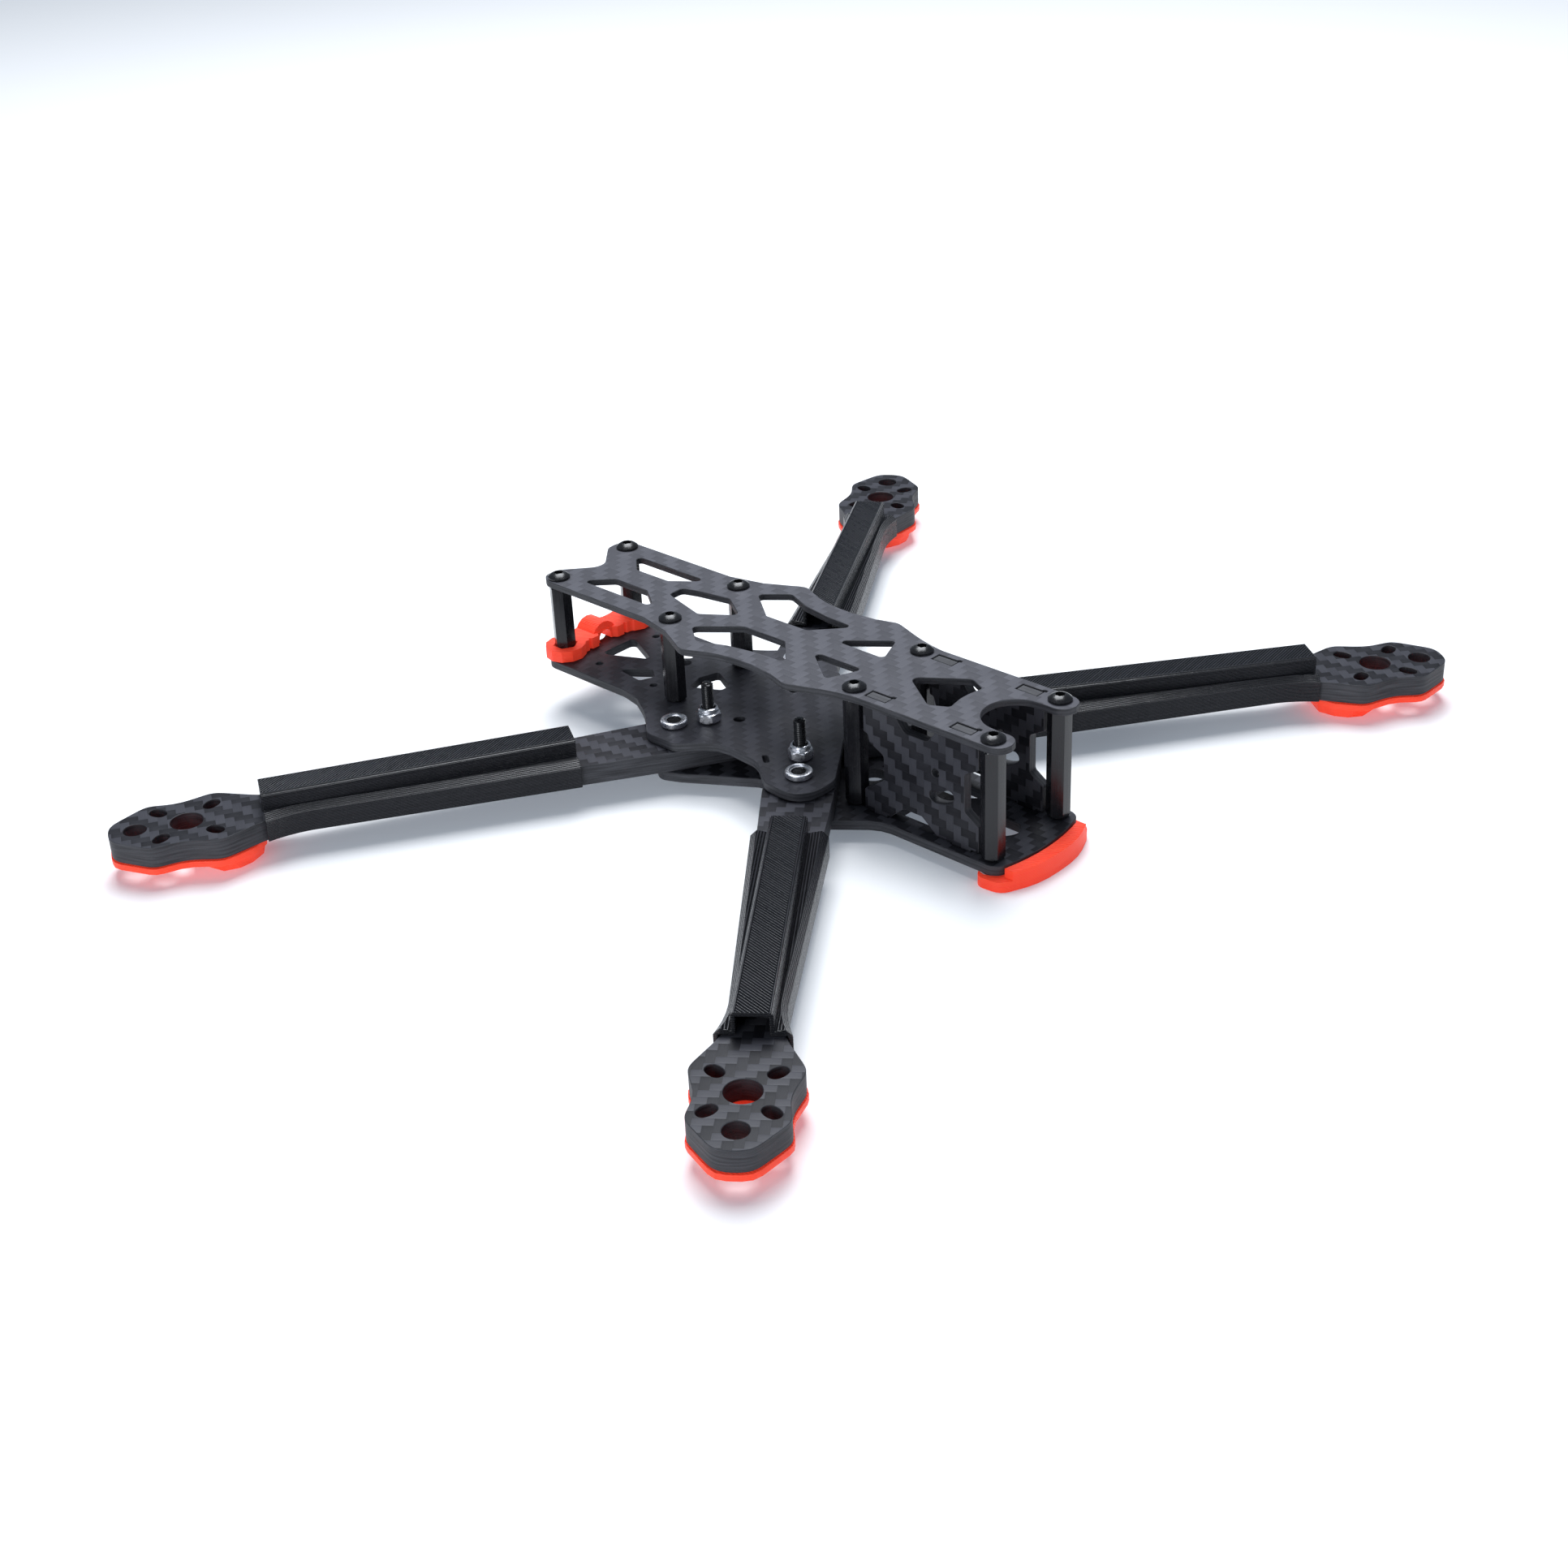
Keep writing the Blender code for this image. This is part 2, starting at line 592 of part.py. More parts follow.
def guard_section(u):
    """Guard cross section in (v, z): skirts down the arm's sides, wire tunnel on top."""
    inner = arm_half_width(u) + GAP
    outer = inner + GUARD_WALL
    tunnel = GUARD_TUNNEL_HALF_WIDTH
    bore = tunnel - 0.9
    ridge = max(outer - 1.5, tunnel + 0.35)
    half = [(outer, GUARD_SKIRT_Z), (outer, 0.4), (ridge, 1.9), (tunnel, 1.3), (tunnel, GUARD_TUNNEL_Z - 0.5),
            (tunnel - 0.5, GUARD_TUNNEL_Z)]
    lining = [(inner, GUARD_SKIRT_Z), (inner, GAP), (bore, GAP), (bore, GUARD_TUNNEL_Z - 1.0)]
    left = [(-v, z) for v, z in reversed(half)]
    left_lining = [(-v, z) for v, z in lining]
    return half + left + left_lining + list(reversed(lining))


def guard_mesh(inner_u):
    """Wire guard swept along the arm's taper, its origin halfway along it."""
    middle = (inner_u + GUARD_OUTER_U) / 2.0
    stations = [inner_u, ARM_NECK_U, -25.0, -22.0, -19.5, GUARD_OUTER_U]
    rings = [[(u - middle, v, z) for v, z in guard_section(u)] for u in stations]
    return loft("arm_guard", rings), middle


def pad_outline():
    """Pad under a motor seat: the seat's own outline, closed off towards the body."""
    left = [(PAD_INNER_U, 5.0, 2.0), (PAD_INNER_U + 3.4, 8.9, 2.0)] + seat_corners(PAD_OVERHANG)
    right = [(u, -v, radius) for u, v, radius in reversed(left)]
    return rounded(left + right)


def skid_mesh():
    """Keel under the pad, tapered downwards."""
    top = -ARM_T - PAD_T / 2.0
    upper = [(PAD_INNER_U + 0.3, 5.0), (-13.8, 8.8), (-8.0, 10.6), (0.5, 8.6)]
    lower = [(-16.0, 4.6), (-13.2, 7.8), (-10.2, 9.4), (-6.4, 9.6)]
    rings = []
    for half, level in ((upper, top), (lower, PAD_SKID_Z)):
        rings.append([(u, v, level) for u, v in half] + [(u, -v, level) for u, v in reversed(half)])
    return loft("pad_skid", rings)


def pad_mesh():
    """Flat part of the pad, with openings for the motor bore and its screws."""
    holes = [circle(0.0, 0.0, MOTOR_BORE_R + 0.3, 12), circle(TIP_HOLE_U, 0.0, TIP_HOLE_R + 0.3, 8)]
    for quarter in (0, 3):
        angle = math.radians(45.0 + 90.0 * quarter)
        reach = (MOTOR_SLOT_INNER + MOTOR_SLOT_OUTER) / 2.0
        holes.append(circle(reach * math.cos(angle), reach * math.sin(angle), 2.0, 8))
    mesh = slab("motor_pad", pad_outline(), holes, -ARM_T - PAD_T, -ARM_T)
    for vertex in mesh.vertices:
        u, v, z = vertex.co
        beside_hole = math.hypot(u - TIP_HOLE_U, v) < TIP_HOLE_R + 1.0
        if z < -ARM_T - PAD_T / 2.0 and u > 9.0 and not beside_hole:
            vertex.co.x = u - PAD_TIP_BEVEL * (u - 9.0) / 9.0
            vertex.co.y = v * (1.0 - 0.01 * (u - 9.0))
    return mesh


def build_arms(parent, carbon, black_print, red_print):
    shared_pad = pad_mesh()
    skid = skid_mesh()
    seats = (("front", (FRONT_MOTOR_X, -FRONT_MOTOR_Y), FRONT_AXIS_X, FRONT_CLAMP, FRONT_GUARD_INNER_U),
             ("rear", (REAR_MOTOR_X, -REAR_MOTOR_Y), REAR_AXIS_X, REAR_CLAMP, REAR_GUARD_INNER_U))
    for end, motor, axis_x, clamp, guard_inner_u in seats:
        outline, holes = arm_plan(motor, axis_x, (clamp[0], -clamp[1]))
        shared_guard, guard_middle = guard_mesh(guard_inner_u)
        for side, label in ((1.0, "right"), (-1.0, "left")):
            name = end + "_" + label
            plan = [(u, side * v) for u, v in outline]
            cuts = [[(u, side * v) for u, v in hole] for hole in holes]
            seat = Vector((motor[0], side * motor[1]))
            along = (seat - Vector((axis_x, 0.0))).normalized()
            turn = math.atan2(along.y, along.x)
            place = (seat.x, seat.y, 0.0)
            mesh = slab("arm_" + name, plan, cuts, -ARM_T + GAP, 0.0)
            new_object("arm_" + name, mesh, carbon, parent, place, turn)
            centre = seat + along * guard_middle
            new_object("arm_guard_" + name, shared_guard, black_print, parent, (centre.x, centre.y, 0.0), turn)
            pad = new_object("motor_pad_" + name, shared_pad, red_print, parent, place, turn)
            cutter = add_cutter("skid_" + name, skid, parent, place, turn)
            add_boolean(pad, cutter, "UNION")


# ---------------------------------------------------------------- printed nose bumper and antenna holder

def bumper_edge():
    """Left half of the bumper's outline: bowed front, round end, straight back."""
    front = NOSE_FRONT_X + BUMPER_REACH
    width = NOSE_HALF_WIDTH + 1.5
    bow = [(front - BUMPER_BOW * (y / 13.5) ** 2.6, y, 0.0) for y in (0.0, 4.0, 7.5, 10.5)]
    return bow + [(front - 4.2, width - 0.6, 4.0), (front - 10.8, width, 2.5), (front - 12.6, 13.0, 2.0)]


def bumper_block():
    """Outer body of the bumper before the plate's seat is cut from it."""
    outline = rounded(mirrored(bumper_edge()), 20.0)
    mesh = slab("nose_bumper", outline, [], BUMPER_BOTTOM_Z, BUMPER_TOP_Z)
    for vertex in mesh.vertices:
        if vertex.co.z > BOTTOM_Z and vertex.co.x > NOSE_FRONT_X - 3.0:
            vertex.co.x -= BUMPER_LEAN * min(1.0, abs(vertex.co.y) / 13.5) ** 2.6
    return mesh


def bumper_seat():
    """Room for the nose of the bottom plate, open above the bumper's two ends."""
    bow = [(NOSE_FRONT_X + GAP - 1.9 * (y / 14.0) ** 2, y) for y in (0.0, 3.5, 7.0, 10.5, BUMPER_WALL_HALF_WIDTH)]
    upper = bow + [(NOSE_FRONT_X + 12.0, BUMPER_WALL_HALF_WIDTH), (NOSE_FRONT_X + 12.0, 24.0), (60.0, 24.0)]
    lower = [(x, -y) for x, y in reversed(upper) if y > 0.0]
    return slab("bumper_seat", upper + lower, [], BOTTOM_Z - GAP, 0.0)


def bumper_screw_room():
    """Pocket that clears a standoff screw's head under the plate."""
    return loft("bumper_screw_room", [ring(BUTTON_HEAD_R + 0.5, BUMPER_BOTTOM_Z - 1.0),
                                      ring(BUTTON_HEAD_R + 0.5, BOTTOM_Z + 1.0)])


def build_nose_bumper(parent, material):
    bumper = new_object("nose_bumper", bumper_block(), material, parent)
    add_boolean(bumper, add_cutter("cut_bumper_seat", bumper_seat(), parent), "DIFFERENCE")
    for side, label in ((-1.0, "right"), (1.0, "left")):
        place = (FRONT_COLUMN_X[1], side * STANDOFF_Y, 0.0)
        room = add_cutter("cut_bumper_screw_" + label, bumper_screw_room(), parent, place)
        add_boolean(bumper, room, "DIFFERENCE")


def build_antenna_holder(parent, material):
    """Rings round the two rear standoffs, joined by a bar that arches over the antenna tube."""
    base = MIDDLE_TOP_Z + GAP
    x = REAR_COLUMN_X[0]
    bar_front = x + 3.3
    bar_back = x - 4.4
    bite = 0.9
    half = [(bar_front - 1.2, 2.6, 0.4), (bar_front, 3.4, 0.6), (bar_front, 5.6, 0.0),
            (bar_front - bite, 6.2, 0.0), (bar_front, 6.8, 0.0), (bar_front, 8.4, 1.0)]
    around = []
    for index in range(8):
        angle = math.radians(-40.0 + 220.0 * index / 7.0)
        around.append((x + HOLDER_RING_R * math.cos(angle), STANDOFF_Y + HOLDER_RING_R * math.sin(angle), 0.0))
    back = [(bar_back, 7.6, 0.0), (bar_back, 5.2, 0.0), (bar_back - 0.8, 2.6, 0.0)]
    outline = rounded(mirrored(half + around + back))
    reach = (STANDOFF_ACROSS_FLATS / 2.0 + GAP) / math.cos(math.pi / 6.0)
    holes = []
    for side in (-1.0, 1.0):
        hexagon = [(x + reach * math.cos(math.radians(60.0 * index)),
                    side * STANDOFF_Y + reach * math.sin(math.radians(60.0 * index))) for index in range(6)]
        holes.append(hexagon)
    holder = new_object("antenna_holder", slab("antenna_holder", outline, holes, 0.0, HOLDER_T), material,
                        parent, (0.0, 0.0, base))
    arch_r = HOLDER_TUBE_R + HOLDER_TUBE_WALL
    arch_z = 0.9
    arch = []
    for place in (bar_back - 0.4, bar_front - 1.6):
        row = [(place, arch_r, 0.0)]
        for index in range(9):
            angle = math.pi * index / 8.0
            row.append((place, arch_r * math.cos(angle), arch_z + arch_r * math.sin(angle)))
        row.append((place, -arch_r, 0.0))
        arch.append(row)
    add_boolean(holder, add_cutter("holder_arch", loft("holder_arch", arch), parent, (0.0, 0.0, base)), "UNION")
    bore = []
    for place in (bar_back - 3.0, bar_front + 3.0):
        row = [(place, HOLDER_TUBE_R, -1.0)]
        for index in range(9):
            angle = math.pi * index / 8.0
            row.append((place, HOLDER_TUBE_R * math.cos(angle), arch_z + HOLDER_TUBE_R * math.sin(angle)))
        row.append((place, -HOLDER_TUBE_R, -1.0))
        bore.append(row)
    cut = add_cutter("cut_holder_tube", loft("cut_holder_tube", bore), parent, (0.0, 0.0, base))
    add_boolean(holder, cut, "DIFFERENCE")


# ---------------------------------------------------------------- hardware

def standoff_mesh(length):
    """Hexagonal tube with broken corners at both ends."""
    flats = STANDOFF_ACROSS_FLATS
    bore = (SCREW_R + SCREW_FIT) / math.cos(math.pi / 12.0)
    outer = [hex_ring(flats - 0.5, 0.0), hex_ring(flats, 0.3), hex_ring(flats, length - 0.3),
             hex_ring(flats - 0.5, length)]
    return tube_mesh("standoff", outer, [ring(bore, 0.0), ring(bore, length)])


def button_screw_mesh(name, length):
    """Button head screw hanging down from z = 0, the underside of its head."""
    head = BUTTON_HEAD_H - GAP
    floor = head - SOCKET_DEPTH
    rings = [hex_ring(SOCKET_ACROSS_FLATS, floor), hex_ring(SOCKET_ACROSS_FLATS, head), ring(1.75, head),
             ring(2.55, head * 0.55), ring(BUTTON_HEAD_R, 0.2), ring(BUTTON_HEAD_R - 0.15, 0.0),
             ring(SCREW_R, 0.0), ring(SCREW_R, -length)]
    return loft(name, rings, 50.0)


def build_standoffs(parent, material):
    rear = standoff_mesh(REAR_STANDOFF_LENGTH - GAP)
    front_length = TOP_PLATE_BOTTOM_Z - BOTTOM_TOP_Z
    front = standoff_mesh(front_length - GAP)
    for columns, mesh, foot, end in ((REAR_COLUMN_X, rear, MIDDLE_TOP_Z, "rear"),
                                     (FRONT_COLUMN_X, front, BOTTOM_TOP_Z, "front")):
        for number, x in enumerate(columns, 1):
            for side, label in ((-1.0, "right"), (1.0, "left")):
                name = f"standoff_{end}_{label}_{number}"
                new_object(name, mesh, material, parent, (x, side * STANDOFF_Y, foot + GAP))


def build_plate_screws(parent, material):
    """Screws into both ends of every standoff."""
    mesh = button_screw_mesh("plate_screw", PLATE_SCREW_LENGTH)
    for number, x in enumerate(TOP_SCREW_X, 1):
        for side, label in ((-1.0, "right"), (1.0, "left")):
            new_object(f"top_screw_{label}_{number}", mesh, material, parent,
                       (x, side * STANDOFF_Y, TOP_Z + GAP))
            under = GAP if x in REAR_COLUMN_X else BOTTOM_Z
            lower = new_object(f"lower_screw_{label}_{number}", mesh, material, parent,
                               (x, side * STANDOFF_Y, under - GAP))
            lower.rotation_euler = (math.pi, 0.0, 0.0)


def press_nut_mesh():
    """Flanged press nut: round flange on the plate, short stem in its hole."""
    bore = (SCREW_R + SCREW_FIT) / math.cos(math.pi / 12.0)
    outer = [ring(PRESS_NUT_STEM_R, -1.4), ring(PRESS_NUT_STEM_R, GAP), ring(PRESS_NUT_R, GAP),
             ring(PRESS_NUT_R, PRESS_NUT_H - 0.3), ring(PRESS_NUT_R - 0.3, PRESS_NUT_H)]
    return tube_mesh("press_nut", outer, [ring(bore, -1.4), ring(bore, PRESS_NUT_H)])


def lock_nut_mesh():
    """Lock nut: hexagon with a round collar above it."""
    bore = (SCREW_R + SCREW_FIT) / math.cos(math.pi / 12.0)
    collar = NUT_ACROSS_FLATS / 2.0 - 0.15
    outer = [hex_ring(NUT_ACROSS_FLATS - 0.3, GAP), hex_ring(NUT_ACROSS_FLATS, GAP + 0.3),
             hex_ring(NUT_ACROSS_FLATS, NUT_HEX_H), ring(collar, NUT_HEX_H + 0.2),
             ring(collar, NUT_H - 0.4), ring(collar - 0.5, NUT_H)]
    return tube_mesh("lock_nut", outer, [ring(bore, GAP), ring(bore, NUT_H)])


def build_clamps(parent, black_steel, zinc):
    """Arm clamp screws from below, each into a press nut on the middle plate."""
    length = MIDDLE_TOP_Z + PRESS_NUT_H - 0.4 - (BOTTOM_Z - GAP)
    screw = button_screw_mesh("clamp_screw", length)
    nut = press_nut_mesh()
    names = ("front_right", "front_left", "rear_right", "rear_left")
    for name, (x, y) in zip(names, clamp_points()):
        thing = new_object("clamp_screw_" + name, screw, black_steel, parent, (x, y, BOTTOM_Z - GAP))
        thing.rotation_euler = (math.pi, 0.0, 0.0)
        new_object("press_nut_" + name, nut, zinc, parent, (x, y, MIDDLE_TOP_Z))


def build_stack_screws(parent, black_steel, zinc):
    """Long screws for the electronics, each locked by a nut on the middle plate."""
    length = STACK_SCREW_TIP_Z - (BOTTOM_Z - GAP)
    screw = button_screw_mesh("stack_screw", length)
    nut = lock_nut_mesh()
    names = ("rear_right", "rear_left", "front_right", "front_left")
    for name, (x, y) in zip(names, stack_points()):
        thing = new_object("stack_screw_" + name, screw, black_steel, parent, (x, y, BOTTOM_Z - GAP))
        thing.rotation_euler = (math.pi, 0.0, 0.0)
        new_object("lock_nut_" + name, nut, zinc, parent, (x, y, MIDDLE_TOP_Z))


# ---------------------------------------------------------------- the whole frame

def clear_scene():
    for thing in list(bpy.data.objects):
        bpy.data.objects.remove(thing, do_unlink=True)


def make_material(name):
    colour, roughness, metallic = MATERIALS[name]
    material = bpy.data.materials.new(name)
    material.use_nodes = True
    shader = material.node_tree.nodes["Principled BSDF"]
    shader.inputs["Base Color"].default_value = (*colour, 1.0)
    shader.inputs["Roughness"].default_value = roughness
    shader.inputs["Metallic"].default_value = metallic
    return material


def main():
    clear_scene()
    looks = {name: make_material(name) for name in MATERIALS}
    centre = bpy.data.objects.new("stack_centre", None)
    bpy.context.scene.collection.objects.link(centre)
    centre.location = (-ORIGIN_X * MM, 0.0, -BUMPER_BOTTOM_Z * MM)
    build_top_plate(centre, looks["carbon"])
    build_middle_plate(centre, looks["carbon"])
    build_bottom_plate(centre, looks["carbon"])
    build_side_plates(centre, looks["carbon"])
    build_arms(centre, looks["carbon"], looks["black_print"], looks["red_print"])
    build_nose_bumper(centre, looks["red_print"])
    build_antenna_holder(centre, looks["red_print"])
    build_standoffs(centre, looks["black_anodised"])
    build_plate_screws(centre, looks["black_steel"])
    build_clamps(centre, looks["black_steel"], looks["zinc"])
    build_stack_screws(centre, looks["black_steel"], looks["zinc"])


main()
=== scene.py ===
# %% [markdown]
# # A carbon racing drone frame
# This lesson dresses a finished CAD model of a bare racing drone frame. The frame has three stacked
# carbon plates, two upright camera plates and four carbon arms. Black printed sleeves guard the motor
# wires, and the pads, the nose bumper and the antenna holder are printed in red.
# The CAD model fixes every size. This script only adds the fine shape and the finish.

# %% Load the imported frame
import math

import bmesh
import bpy
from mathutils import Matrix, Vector
from mathutils.geometry import tessellate_polygon


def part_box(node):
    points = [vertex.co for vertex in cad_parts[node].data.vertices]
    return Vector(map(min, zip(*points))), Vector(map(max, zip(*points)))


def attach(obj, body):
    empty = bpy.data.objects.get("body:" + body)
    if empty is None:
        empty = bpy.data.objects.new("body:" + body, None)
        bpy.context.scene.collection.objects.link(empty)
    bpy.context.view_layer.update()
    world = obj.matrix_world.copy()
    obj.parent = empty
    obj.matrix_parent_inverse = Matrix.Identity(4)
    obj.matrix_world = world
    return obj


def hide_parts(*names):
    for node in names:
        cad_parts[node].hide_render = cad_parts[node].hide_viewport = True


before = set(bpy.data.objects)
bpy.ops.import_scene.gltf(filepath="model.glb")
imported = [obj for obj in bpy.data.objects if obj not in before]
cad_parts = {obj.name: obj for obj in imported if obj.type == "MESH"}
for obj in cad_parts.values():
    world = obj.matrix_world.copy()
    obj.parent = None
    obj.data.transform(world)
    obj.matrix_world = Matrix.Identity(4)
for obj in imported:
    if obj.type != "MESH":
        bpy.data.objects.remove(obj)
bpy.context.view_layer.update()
MM = 0.001


# %% [markdown]
# ## Writing node trees as sums
# Node trees are easier to read as arithmetic. The class below wraps one output socket. Its operators add
# Math nodes, so `1 - mask` builds a node. One method adds any other node, with its settings first and then
# the values or wires of its sockets. The same two classes serve shaders and Geometry Nodes. Sizes in the
# script are in mm; MM turns them into metres.

# %% One class for wires, one for trees
class Wire:
    """An output socket of a node, which can be used in sums."""

    def __init__(self, tree, socket):
        self.tree = tree
        self.socket = socket

    def out(self, name):
        return Wire(self.tree, self.socket.node.outputs[name])

    def math(self, operation, *others):
        values = dict(enumerate((self,) + others))
        return self.tree.node("ShaderNodeMath", {"operation": operation}, values)

    def clamped(self):
        return self.math("MAXIMUM", 0.0).math("MINIMUM", 1.0)

    def from_middle(self):
        """For a value from 0 to 1: 0 in the middle of that span and 1 at both of its ends."""
        return (self * 2.0 - 1.0).math("ABSOLUTE")

    def __add__(self, other):
        return self.math("ADD", other)

    def __radd__(self, other):
        return self.math("ADD", other)

    def __sub__(self, other):
        return self.math("SUBTRACT", other)

    def __rsub__(self, other):
        return self.tree.node("ShaderNodeMath", {"operation": "SUBTRACT"}, {0: other, 1: self})

    def __mul__(self, other):
        return self.math("MULTIPLY", other)

    def __rmul__(self, other):
        return self.math("MULTIPLY", other)

    def __truediv__(self, other):
        return self.math("DIVIDE", other)

    def __pow__(self, other):
        return self.math("POWER", other)


class Tree:
    """A node tree that is built by calls."""

    def __init__(self, nodes, links):
        self.nodes = nodes
        self.links = links

    def node(self, kind, settings=None, inputs=None):
        """Add a node: settings first, then the values or wires of its sockets. Returns its first output."""
        made = self.nodes.new(kind)
        for name, value in (settings or {}).items():
            setattr(made, name, value)
        for key, value in (inputs or {}).items():
            socket = made.inputs[key]
            if isinstance(value, Wire):
                self.links.new(value.socket, socket)
            else:
                socket.default_value = value
        shown = [socket for socket in made.outputs if socket.enabled]
        return Wire(self, shown[0]) if shown else made

    def vector(self, x=0.0, y=0.0, z=0.0):
        return self.node("ShaderNodeCombineXYZ", {}, {"X": x, "Y": y, "Z": z})

    def split(self, vector):
        """The X, Y and Z of a vector, as three wires."""
        parts = self.node("ShaderNodeSeparateXYZ", {}, {"Vector": vector})
        return parts.out("X"), parts.out("Y"), parts.out("Z")

    def noise(self, place, scale=1.0, detail=2.0):
        return self.node("ShaderNodeTexNoise", {}, {"Vector": place, "Scale": scale, "Detail": detail})


# %% [markdown]
# ## Blending two colours
# A Math node turns a colour grey, so colours go through a Mix node. Its sockets share their names between
# the number, vector and colour versions, so they are picked by identifier.

# %% A colour mixer and a new material
def mix_colours(tree, factor, first, second):
    made = tree.nodes.new("ShaderNodeMix")
    made.data_type = "RGBA"
    named = {socket.identifier: socket for socket in made.inputs}
    for key, value in (("Factor_Float", factor), ("A_Color", first), ("B_Color", second)):
        if isinstance(value, Wire):
            tree.links.new(value.socket, named[key])
        else:
            named[key].default_value = value if key == "Factor_Float" else (*value, 1.0)
    result = [socket for socket in made.outputs if socket.identifier == "Result_Color"][0]
    return Wire(tree, result)


def new_material(name, **fixed):
    """A material, its tree and its shader, with the constant values set on the shader's own sockets."""
    material = bpy.data.materials.new(name)
    material.use_nodes = True
    tree = Tree(material.node_tree.nodes, material.node_tree.links)
    shader = tree.nodes["Principled BSDF"]
    for key, value in fixed.items():
        shader.inputs[key.replace("_", " ").title().replace("Ior", "IOR")].default_value = value
    return material, tree, shader


def feed(tree, shader, **wires):
    for key, wire in wires.items():
        tree.links.new(wire.socket, shader.inputs[key.replace("_", " ").title()])


def bump(tree, height, depth):
    """A surface normal from a height of 0 to 1 that stands for a depth in mm."""
    return tree.node("ShaderNodeBump", {}, {"Height": height, "Distance": depth * MM, "Strength": 1.0})


# %% [markdown]
# ## Carbon twill
# The plates are cut from sheet that is woven in a 2 by 2 twill: each flat tow of fibres passes over two
# others and then under two, one step further along in each row. That gives the stair pattern. The pattern
# is a rule, so it is worked out from the sheet's own coordinates instead of being painted. The two tow
# directions reflect light differently, which shows as darker and lighter tiles.

# %% Carbon twill material
TOW = 2.15
REPEAT = 4.0
PASSED_OVER = 2.0
FIBRES_PER_TOW = 14.0
FIBRE_STREAK = 0.5
WARP_SHIFT = 7.0
WEFT_SHIFT = 500.0
CLOUD_SCALE = 0.11
WEAVE_SHINE = 0.14
WEAVE_DEPTH = 0.045
CLEAR_DARK = (0.0110, 0.0110, 0.0140)
CLEAR_LIGHT = (0.0660, 0.0665, 0.0790)
# The next tones are the same twill in painted shade, dimmer and flatter, for the middle plate under the top
# plate.
SHADED_DARK = (0.0300, 0.0300, 0.0360)
SHADED_LIGHT = (0.0600, 0.0604, 0.0715)
# The last tones are the same twill with a painted sheen, lighter, for the top plate in open light.
LIT_SHEEN_DARK = (0.0620, 0.0620, 0.0720)
LIT_SHEEN_LIGHT = (0.1080, 0.1086, 0.1250)


def carbon_twill(name, dark, light):
    """Woven sheet. The shifts keep the noise of the two tow directions apart."""
    material, tree, shader = new_material(name, specular_ior_level=WEAVE_SHINE)
    sheet = tree.node("ShaderNodeUVMap", {"uv_map": "sheet"})
    sheet_x, sheet_y, _ = tree.split(sheet)
    across = sheet_x / TOW
    along = sheet_y / TOW
    column = across.math("FLOOR")
    row = along.math("FLOOR")
    warp_on_top = (column + row).math("FLOORED_MODULO", REPEAT).math("LESS_THAN", PASSED_OVER - 0.5)
    weft_on_top = 1.0 - warp_on_top
    over_warp = (along + column).math("FLOORED_MODULO", REPEAT) / PASSED_OVER
    over_weft = ((across + row).math("FLOORED_MODULO", REPEAT) - PASSED_OVER) / PASSED_OVER
    lengthwise = warp_on_top * over_warp + weft_on_top * over_weft
    sidewise = warp_on_top * across.math("FRACT") + weft_on_top * along.math("FRACT")
    crown = 1.0 - sidewise.from_middle() ** 4.0
    arch = 1.0 - lengthwise.from_middle() ** 3.0
    fibre_side = warp_on_top * across + weft_on_top * along
    fibre_run = warp_on_top * along + weft_on_top * across
    fibres = tree.noise(tree.vector(fibre_side * FIBRES_PER_TOW, fibre_run * FIBRE_STREAK,
                                    warp_on_top * WARP_SHIFT))
    cloud = tree.noise(sheet, CLOUD_SCALE, 3.0)
    tile_place = tree.vector(warp_on_top * column + weft_on_top * (row + WEFT_SHIFT),
                             ((column + row) / REPEAT).math("FLOOR"))
    tile = tree.node("ShaderNodeTexWhiteNoise", {"noise_dimensions": "2D"},
                     {"Vector": tile_place}).out("Value")
    # The middle of each float is painted a little lighter than its ends, where the tow dives under the
    # next: painted shade at the crossings.
    shade = (warp_on_top * 0.55 + arch * 0.10 + fibres * 0.30 - 0.12 + (cloud - 0.5) * 0.25
             + (tile - 0.5) * 0.22)
    colour = mix_colours(tree, shade.clamped(), dark, light)
    height = crown * 0.45 + arch * 0.55 + fibres * 0.12
    rough = 0.36 + fibres * 0.12 - warp_on_top * 0.05 + (cloud - 0.5) * 0.12
    feed(tree, shader, base_color=colour, roughness=rough, normal=bump(tree, height, WEAVE_DEPTH))
    return material


clear_twill = carbon_twill("carbon_clear_twill", CLEAR_DARK, CLEAR_LIGHT)
# A copy in painted shade, for the middle plate that lies under the top plate.
shaded_twill = carbon_twill("carbon_shaded_twill", SHADED_DARK, SHADED_LIGHT)
# A lighter copy with a painted sheen, for the top plate in open light.
lit_sheen_twill = carbon_twill("carbon_lit_sheen_twill", LIT_SHEEN_DARK, LIT_SHEEN_LIGHT)
print("twill: tows", TOW, "mm wide,", len(clear_twill.node_tree.nodes), "nodes")

# %% [markdown]
# ## The cut edge of a laminate
# A router leaves the edge matt, and the stacked plies show as thin lines that run round it. The plies
# follow the depth below the face, which the edge keeps as its second sheet coordinate.

# %% Cut edge material
PLY = 0.27
EDGE_IOR = 1.45
EDGE_DEPTH = 0.05
EDGE_DARK = (0.010, 0.0105, 0.014)
EDGE_LIGHT = (0.072, 0.073, 0.084)


